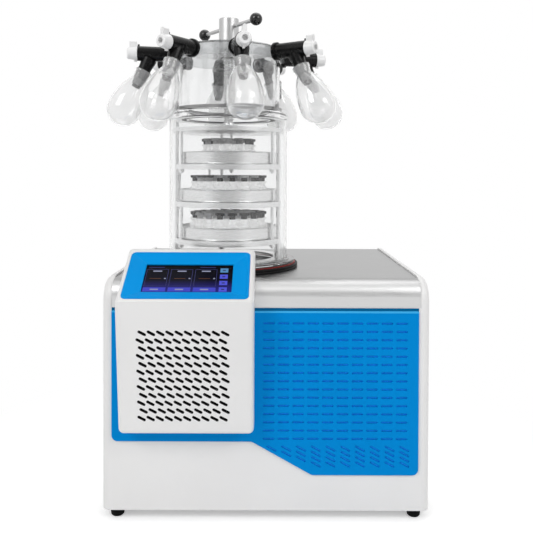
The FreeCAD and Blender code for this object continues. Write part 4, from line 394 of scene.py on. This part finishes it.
# the mat glows faintly blue, a painted light that brightens the panel's slots in front of it
MAT = Finish("filter_mat", Base_Color=(0.002, 0.27, 0.80), Roughness=0.9,
             Emission_Color=(0.001, 0.16, 0.60), Emission_Strength=0.18)
MAT.tint(MAT.noise(500, 4), [(0.35, (0.001, 0.22, 0.68)), (0.65, (0.003, 0.31, 0.90))])
MAT.bump(MAT.noise(700, 4), 0.7, 0.001)

DISPLAY = Finish("display_glass", Base_Color=(0.002, 0.002, 0.004), Specular_IOR_Level=0.15)
DISPLAY.spread(DISPLAY.noise(30, 4), 0.06, 0.14, "Roughness")


def wear(finish, *names):
    """Puts a finish on CAD nodes."""
    for name in names:
        slots = NODES[name].data.materials
        slots.clear()
        slots.append(finish.material)


wear(WHITE, "outer_wrap")
wear(HOUSING, "console_housing")
wear(SHEET, "base_pan", "rear_panel", "fan_shroud")
wear(DECK, "top_deck")
wear(HAZY, "manifold_head")
wear(HUB, "press_hub")
wear(LATHE, "press_screw", "vacuum_port")
wear(COLLAR, "drum_collar")
wear(STEEL, "rack_base", "cold_trap")
wear(PLATE, "press_plate", "shelf_1", "shelf_2", "shelf_3")
wear(TRAY, "tray_1", "tray_2", "tray_3")
wear(BLUE, "louvre_panel")
wear(BEZEL, "console_bezel")
wear(MAT, "dust_filter")
wear(FEET, "feet")
wear(GASKET, "deck_gasket", "flange_gasket")
wear(RUBBER, "valve_bodies")
wear(FEW_STOPPERS, "stoppers_1")
wear(STOPPER, "stoppers_2", "stoppers_3")
wear(RED, "seal_ring", "drain_valve_lever")
wear(DISPLAY, "touch_screen")
wear(COPPER, "evaporator_coil")
wear(FOAM, "trap_insulation")
wear(ENAMEL, "compressor")
wear(FINS, "condenser")
wear(DARK, "fan_blades", "mains_inlet", "power_rocker")
wear(BALL, "ball_knobs")
wear(BRASS, "drain_valve_body")
wear(ACRYLIC, "base_ring", "drying_chamber", "drum_flange", "upper_drum")
wear(FROSTED, "flask_joints")
wear(GLASS, "flasks")
wear(VIAL, "vials_1", "vials_2", "vials_3")
wear(KNOB, *[f"valve_plug_{index}" for index in range(1, PORTS + 1)])


# ---------------------------------------------------------------------------------------------
# Mesh building
# ---------------------------------------------------------------------------------------------
def piece(name, mesh, body, slot, *finishes, smooth=True):
    """A finished object that rides on a body. The slot argument is not used."""
    data = bpy.data.meshes.new(name)
    mesh.normal_update()
    mesh.to_mesh(data)
    mesh.free()
    for finish in finishes:
        data.materials.append(finish.material)
    if smooth:
        data.polygons.foreach_set("use_smooth", [True] * len(data.polygons))
        data.set_sharp_from_angle(angle=math.radians(35))
    made = bpy.data.objects.new(name, data)
    bpy.context.scene.collection.objects.link(made)
    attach(made, body)
    return made


def lathe(mesh, profile, matrix, segments=48, slot=0):
    """Turns (radius, height) points round the matrix's Z axis and closes the ends."""
    rings = []
    for radius, height in profile:
        if radius < 1e-7:
            rings.append([mesh.verts.new(matrix @ Vector((0, 0, height)))])
        else:
            rings.append([mesh.verts.new(matrix @ Vector((
                radius * math.cos(math.tau * step / segments),
                radius * math.sin(math.tau * step / segments), height)))
                for step in range(segments)])
    for below, above in zip(rings, rings[1:]):
        for step in range(segments):
            after = (step + 1) % segments
            corners = []
            for ring, order in ((below, (step, after)), (above, (after, step))):
                corners += [ring[0]] if len(ring) == 1 else [ring[index] for index in order]
            mesh.faces.new(corners).material_index = slot
    for ring, order in ((rings[0], -1), (rings[-1], 1)):
        if len(ring) > 1:
            mesh.faces.new(ring[::order]).material_index = slot


def bridge(mesh, first, second):
    """Joins two loops of equally many vertices with a band of faces."""
    band = []
    for step in range(len(first)):
        after = (step + 1) % len(first)
        band.append(mesh.faces.new((first[step], first[after], second[after], second[step])))
    return band


def make_screw():
    """The press screw with its real thread and the flange at its foot."""
    low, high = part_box("press_screw")
    base, foot = low[2], 0.010
    outside, root, pitch = 0.0109, 0.0088, 0.006
    # the crest's width and the flanks' slope, over one pitch, and where the thread runs out
    crest_width, flank_slope = 1.6, 5.2
    fade_in, fade_out = 0.004, 0.003
    segments, rows_a_turn = 40, 10
    mesh = bmesh.new()
    lathe(mesh, [(0.0188, base), (0.0198, base + 0.001), (0.0198, base + foot - 0.002),
                 (0.018, base + foot), (0.0125, base + foot), (0.0118, base + foot + 0.003),
                 (root, base + foot + 0.004)], Matrix.Translation(AXIS))
    start, end = base + foot + 0.002, high[2] - 0.0005
    count = int((end - start) / pitch * rows_a_turn)
    previous = None
    for row in range(count + 1):
        z = start + (end - start) * row / count
        ring = []
        for step in range(segments):
            turn = math.tau * step / segments
            phase = ((z - start) / pitch - step / segments) % 1
            crest = min(1, max(0, crest_width - abs(phase - 0.5) * flank_slope))
            fade = min(1, (z - start) / fade_in, (end - z) / fade_out)
            radius = root + (outside - root) * crest * max(0, fade)
            ring.append(mesh.verts.new(AXIS + Vector((radius * math.cos(turn),
                                                      radius * math.sin(turn), z))))
        if previous:
            bridge(mesh, previous, ring)
        else:
            mesh.faces.new(ring[::-1])
        previous = ring
    mesh.faces.new(previous)
    screw = piece("press_screw_thread", mesh, "press", "stainless", THREAD)
    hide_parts("press_screw")


def make_gland():
    """A steel gland inside the head; the screw runs through it."""
    outer, bore, chamfer = 0.0207, 0.01135, 0.001
    low, high = head_low + 0.0078, head_high - 0.0038
    mesh = bmesh.new()
    lathe(mesh, [(bore, low), (outer - chamfer, low), (outer, low + chamfer), (outer, high),
                 (bore, high), (bore, low)], Matrix.Translation(AXIS))
    bmesh.ops.remove_doubles(mesh, verts=mesh.verts, dist=1e-7)
    piece("press_gland", mesh, "cabinet", "stainless", LATHE)


def make_dome_nuts():
    """Three studs on the clear flange, each with a washer and a domed hexagon nut."""
    flange_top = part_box("drum_flange")[1][2]
    collar_low, collar_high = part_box("drum_collar")
    circle = (collar_high[0] - collar_low[0]) / 2 + 0.0055
    dome_radius, dome_rise, dome_start, dome_steps = 0.0040, 0.0062, 0.0135, 8
    dome = []
    for step in range(dome_steps):
        turn = math.pi / 2 * step / dome_steps
        dome.append((dome_radius * math.cos(turn), dome_start + dome_rise * math.sin(turn)))
    dome.append((0, dome_start + dome_rise))
    mesh = bmesh.new()
    for angle in (-59, 59, 180):
        turn = math.radians(angle)
        spot = AXIS + Vector((math.sin(turn), -math.cos(turn), 0)) * circle
        place = Matrix.Translation(spot + Vector((0, 0, flange_top)))
        lathe(mesh, [(0.0052, 0.0001), (0.0052, 0.0012)], place, 32)
        lathe(mesh, [(0.0024, 0.0011), (0.0024, 0.0082)], place, 24)
        lathe(mesh, [(0.0041, 0.0080), (0.0046, 0.0085), (0.0046, 0.0130), (0.0041, 0.0136)], place, 6)
        lathe(mesh, dome, place, 32)
    piece("dome_nuts", mesh, "cabinet", "stainless", LATHE)


def make_rear_screws():
    """Pan-head screws round the rear panel: three by three, without the middle one."""
    low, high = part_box("rear_panel")
    facing = Matrix.Rotation(math.radians(-90), 4, "X")
    inset = 0.009
    across, upward = ([low[axis] + inset, (low[axis] + high[axis]) / 2, high[axis] - inset]
                      for axis in (0, 2))
    mesh = bmesh.new()
    for column, x in enumerate(across):
        for row, z in enumerate(upward):
            if (column, row) == (1, 1):
                continue
            place = Matrix.Translation((x, high[1], z)) @ facing
            lathe(mesh, [(0.0034, 0), (0.0034, 0.0008), (0.0029, 0.0015), (0.0016, 0.0019),
                         (0.0013, 0.0019), (0.0013, 0.0010), (0, 0.0010)], place, 24)
    piece("rear_screws", mesh, "cabinet", "stainless", LATHE)


def make_console_shade_plate():
    """A dark plate behind the console's slots, painted shade for the dark inside them, which leans as
    its front does.
    """
    wall, thick = 0.0040, 0.0008
    mesh = bmesh.new()
    corners = [mesh.verts.new((x, pod_front(z) + wall + inset, z))
               for inset in (0, thick) for z in SLOT_ENDS for x in SLOT_SIDES]
    for side in ((0, 1, 3, 2), (4, 6, 7, 5), (0, 4, 5, 1), (2, 3, 7, 6), (0, 2, 6, 4), (1, 5, 7, 3)):
        mesh.faces.new([corners[index] for index in side])
    piece("console_shade_plate", mesh, "cabinet", "black_plastic", FEET, smooth=False)


def make_slot_shade_rims():
    """A thin black lip round each of the console's slots: painted shade that widens their dark
    openings.
    """
    lip, overlap, proud, sunk = 0.0005, 0.0002, 0.00012, 0.0006
    arc = 6
    slant = Matrix.Rotation(SLOT_ANGLE, 3, "Y")
    mesh = bmesh.new()

    def outline(grow):
        """The slot's outline, with round ends, larger all round by that much."""
        radius, run = SLOT_WIDTH / 2 + grow, (SLOT_LENGTH - SLOT_WIDTH) / 2
        points = []
        for side in (1, -1):
            for step in range(arc + 1):
                angle = math.pi * (step / arc - 0.5)
                points.append(slant @ Vector((side * (run + radius * math.cos(angle)), 0,
                                              side * radius * math.sin(angle))))
        return points

    section = [(outline(grow), back)
               for grow, back in ((lip, sunk), (lip, -proud), (-overlap, -proud), (-overlap, sunk))]
    for row in range(SLOT_ROWS):
        for column in range(SLOT_COLUMNS):
            x = FIRST_SLOT_X + column * SLOT_PITCH_X + (row % 2) * SLOT_SHIFT
            z = FIRST_SLOT_Z + row * SLOT_PITCH_Z
            loops = [[mesh.verts.new((x + point.x, pod_front(z + point.z) + back, z + point.z))
                      for point in points] for points, back in section]
            for first, second in zip(loops, loops[1:] + loops[:1]):
                bridge(mesh, first, second)
    piece("console_slot_shade_rims", mesh, "cabinet", "black_plastic", FEET, smooth=False)


def make_cakes():
    """Freeze-dried product in each vial."""
    for level, rings, body in ((1, 2, "upper_shelf"), (2, 3, "middle_shelf"), (3, 3, "cabinet")):
        floor_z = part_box(f"vials_{level}")[0][2]
        mesh = bmesh.new()
        for ring in range(rings + 1):
            count = VIALS_A_RING * ring or 1
            for index in range(count):
                turn = math.tau * index / count
                spot = AXIS + Vector((math.cos(turn), math.sin(turn), 0)) * VIAL_PITCH * ring
                spot.z = floor_z
                lathe(mesh, [(0.0088, 0.0012), (0.0098, 0.0022), (0.0098, 0.0205), (0.0092, 0.0212)],
                      Matrix.Translation(spot), 20)
        piece(f"dried_product_{level}", mesh, body, "white_moulding", CAKE)


def make_liquid():
    """The liquid in the front flask: its inside, cut level a little below its widest place."""
    bulb, wall, middle, neck_end, neck = 0.035, 0.0020, 0.126, 0.056, 0.0132
    into_wall = 0.00025
    below_port = 0.1215
    shoulder_steps, bulb_steps = 14, 16
    inner = bulb - wall + into_wall
    drop = inner - neck
    arc = (drop ** 2 + (middle - neck_end) ** 2) / (2 * drop)
    profile = []
    for step in range(shoulder_steps + 1):
        along = neck_end + (middle - neck_end) * step / shoulder_steps
        profile.append((inner - (arc - math.sqrt(arc ** 2 - (middle - along) ** 2)), along))
    for step in range(1, bulb_steps):
        turn = math.pi / 2 * step / bulb_steps
        profile.append((inner * math.cos(turn), middle + inner * math.sin(turn)))
    profile.append((0, middle + inner))
    mesh = bmesh.new()
    lathe(mesh, profile, port_frame(0), 56)
    bmesh.ops.recalc_face_normals(mesh, faces=mesh.faces)
    cut = bmesh.ops.bisect_plane(mesh, geom=mesh.verts[:] + mesh.edges[:] + mesh.faces[:],
                                 plane_co=(0, 0, PORT_LEVEL - below_port), plane_no=(0, 0, 1),
                                 clear_outer=True)
    rim = [item for item in cut["geom_cut"] if isinstance(item, bmesh.types.BMEdge)]
    bmesh.ops.edgeloop_fill(mesh, edges=rim)
    bmesh.ops.recalc_face_normals(mesh, faces=mesh.faces)
    piece("flask_liquid", mesh, "cabinet", "clear_glass", LIQUID)


class Slope:
    """Places on the console's sloping face, from the middle of the display's lower edge."""

    def __init__(self):
        low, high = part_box("touch_screen")
        lean = math.atan2(POD_SLOPE_RISE, POD_SLOPE_RUN)
        thick = 0.006
        self.across = Vector((1, 0, 0))
        self.up = Vector((0, math.cos(lean), math.sin(lean)))
        self.out = Vector((0, -math.sin(lean), math.cos(lean)))
        self.base = Vector(((low[0] + high[0]) / 2, low[1], low[2] + thick * math.cos(lean)))

    def at(self, along, rise, lift):
        """The point that far across the face, up it and out from it."""
        return self.base + self.across * along + self.up * rise + self.out * lift


SCREEN_HALF, SCREEN_LOW, SCREEN_HIGH = 0.080, 0.0146, 0.0887


def make_bezel_frame():
    """Four facets that fall from the bezel's lip to the screen, with thin mitre lines in a lighter
    blue as a painted highlight.
    """
    slope = Slope()
    lip = (0.107, -0.005, 0.1122)
    screen = (SCREEN_HALF, SCREEN_LOW, SCREEN_HIGH)
    # outline and lift of each loop: the front at the lip and the screen, then the back
    loops = [(*lip, 0.00905), (*screen, 0.0026), (*screen, 0.0002), (*lip, 0.0086)]
    mitre = 0.0003
    mesh = bmesh.new()
    rings = [[mesh.verts.new(slope.at(x, y, lift)) for x, y in
              ((-half, bottom), (half, bottom), (half, top), (-half, top))]
             for half, bottom, top, lift in loops]
    for ring, after in zip(rings, rings[1:] + rings[:1]):
        bridge(mesh, ring, after)
    bmesh.ops.recalc_face_normals(mesh, faces=mesh.faces)
    for outer, inner in zip([vert.co.copy() for vert in rings[0]],
                            [vert.co.copy() for vert in rings[1]]):
        run = inner - outer
        place = run.to_track_quat("Z", "Y").to_matrix().to_4x4()
        place.translation = outer
        lathe(mesh, [(mitre, 0.001), (mitre, run.length)], place, 8, 1)
    piece("bezel_facets", mesh, "cabinet", "blue_panel", BEZEL, MITRE_HIGHLIGHT, smooth=False)


def make_display():
    """A plain picture: three framed panels, three bars below them and four buttons."""
    slope = Slope()
    tall, wide = SCREEN_HIGH - SCREEN_LOW, 2 * SCREEN_HALF

    def lit(name, colour):
        """A finish that glows in one colour."""
        return Finish(name, Base_Color=shade(colour, 0.1), Roughness=0.3, Specular_IOR_Level=0.05,
                      Emission_Color=colour, Emission_Strength=1.0)

    glow = Finish("screen_glow", Base_Color=(0.001, 0.001, 0.002), Roughness=0.25,
                  Specular_IOR_Level=0.05, Emission_Strength=0.9)
    height = glow.ranged(glow.split(glow.place)["Z"], slope.at(0, SCREEN_LOW, 0).z,
                         slope.at(0, SCREEN_HIGH, 0).z)
    glow.tint(height,
              [(0.0, (0.022, 0.022, 0.26)), (0.24, (0.014, 0.012, 0.13)),
               (0.45, (0.002, 0.002, 0.010)), (0.9, (0.0008, 0.0008, 0.0015))], "Emission Color")
    finishes = [glow, lit("screen_lines", (0.030, 0.032, 0.11)),
                lit("screen_bars", (0.050, 0.055, 0.46)), lit("screen_buttons", (0.075, 0.085, 0.60)),
                lit("screen_first", (0.085, 0.24, 0.46)), lit("screen_trace", (0.12, 0.05, 0.02)),
                lit("screen_marks", (0.26, 0.28, 0.40))]
    GLOW, LINES, BARS, BUTTONS, FIRST, TRACE, MARKS = range(len(finishes))
    mesh = bmesh.new()

    def block(left, bottom, right, top, lift, finish):
        """A thin raised patch; its edges are shares of the screen's width and height."""
        thick = 0.00012
        spots = [(-SCREEN_HALF + wide * u, SCREEN_LOW + tall * v)
                 for u, v in ((left, bottom), (right, bottom), (right, top), (left, top))]
        ground = [mesh.verts.new(slope.at(x, y, lift)) for x, y in spots]
        crown = [mesh.verts.new(slope.at(x, y, lift + thick)) for x, y in spots]
        ends = [mesh.faces.new(ground[::-1]), mesh.faces.new(crown)]
        for face in ends + bridge(mesh, ground, crown):
            face.material_index = finish

    def frame_of(left, bottom, right, top, lift, finish):
        """Four thin patches round a panel."""
        upright, level = 0.007, 0.014
        block(left, bottom, right, bottom + level, lift, finish)
        block(left, top - level, right, top, lift, finish)
        block(left, bottom + level, left + upright, top - level, lift, finish)
        block(right - upright, bottom + level, right, top - level, lift, finish)

    ground_lift, field_lift, mark_lift = 0.00005, 0.0002, 0.0003
    block(-0.02, -0.03, 1.02, 1.03, ground_lift, GLOW)
    for left in (0.012, 0.290, 0.568):
        right = left + 0.252
        frame_of(left, 0.235, right, 0.85, field_lift, LINES)
        block(left + 0.075, 0.76, right - 0.075, 0.80, mark_lift, MARKS)
        block(left + 0.05, 0.505, right - 0.075, 0.518, mark_lift, TRACE)
        block(right - 0.038, 0.495, right - 0.018, 0.53, mark_lift, MARKS)
        block(left, 0.055, right, 0.195, field_lift, BARS)
        block(left + 0.08, 0.105, right - 0.08, 0.145, mark_lift, MARKS)
    for left, right in ((0.03, 0.21), (0.62, 0.80)):
        block(left, 0.905, right, 0.935, mark_lift, LINES)
    for row, finish in enumerate((BUTTONS, BUTTONS, BUTTONS, FIRST)):
        bottom = 0.055 + row * 0.228
        block(0.855, bottom, 0.945, bottom + 0.15, field_lift, finish)
        block(0.883, bottom + 0.055, 0.917, bottom + 0.095, mark_lift, LINES)
    piece("display_picture", mesh, "cabinet", "screen", *finishes, smooth=False)


make_screw()
make_gland()
make_dome_nuts()
make_rear_screws()
make_console_shade_plate()
make_slot_shade_rims()
make_cakes()
make_bezel_frame()
make_liquid()
make_display()

# ---------------------------------------------------------------------------------------------
# Studio
# ---------------------------------------------------------------------------------------------
WHITE_LIGHT = (1, 1, 1, 1)

world = bpy.data.worlds.new("studio")
bpy.context.scene.world = world
world.use_nodes = True
studio = Nodes(world.node_tree)
sky = studio.tree.nodes["Background"]
sky.inputs["Color"].default_value = WHITE_LIGHT
sky.inputs["Strength"].default_value = 0.47
white = studio.node("Background", Color=WHITE_LIGHT)
# metal and glass find the studio darker in front of the object, where the room is
direction = studio.split(studio.node("TexCoord").outputs["Generated"])
room = studio.ranged(direction["Y"], -0.66, -0.98, 1.0, 0.42, interpolation_type="SMOOTHSTEP")
seen_directly = studio.node("LightPath").outputs["Is Camera Ray"]
studio.link(studio.calculate("MAXIMUM", room, seen_directly), white.inputs["Strength"])
studio.through_light_path("World Output", sky.outputs[0], white.outputs[0])

# a white floor that keeps the shadow near the object and fades into the backdrop
floor_mesh = bmesh.new()
bmesh.ops.create_grid(floor_mesh, x_segments=1, y_segments=1, size=8)
floor_data = bpy.data.meshes.new("floor")
floor_mesh.to_mesh(floor_data)
floor_mesh.free()
floor = bpy.data.objects.new("floor", floor_data)
bpy.context.scene.collection.objects.link(floor)
floor.location.z = -0.0005
paper = Finish("floor_finish", Base_Color=(0.9, 0.9, 0.9), Roughness=0.8)
near = paper.node("AddShader")
for socket, source in zip(near.inputs, (paper.shader, paper.node("Emission", Strength=0.36))):
    paper.link(source.outputs[0], socket)
far = paper.node("Emission", Strength=1.0)
reach = paper.node("VectorMath", operation="LENGTH")
paper.link(paper.place, reach.inputs[0])
fade = paper.ranged(reach.outputs["Value"], 0.30, 0.75, interpolation_type="SMOOTHSTEP")
seen_floor = paper.node("MixShader")
for socket, source in zip(seen_floor.inputs, (fade, near.outputs[0], far.outputs[0])):
    paper.link(source, socket)
paper.through_light_path("Material Output", paper.shader.outputs[0], seen_floor.outputs[0])
floor_data.materials.append(paper.material)


LAMP_TARGET = Vector((0, 0, 0.4))


def lamp(name, place, size, energy):
    """A square lamp that looks at the middle of the object."""
    data = bpy.data.lights.new(name, "AREA")
    data.energy = energy
    data.size = size
    made = bpy.data.objects.new(name, data)
    made.location = place
    made.rotation_euler = (LAMP_TARGET - Vector(place)).to_track_quat("-Z", "Y").to_euler()
    bpy.context.scene.collection.objects.link(made)


lamp("key", (-1.7, -2.1, 2.2), 1.4, 33)
lamp("fill", (2.0, -2.0, 2.2), 1.4, 27)
lamp("top", (0.2, 0.4, 2.6), 1.6, 12)

bpy.context.scene.view_settings.view_transform = "Standard"
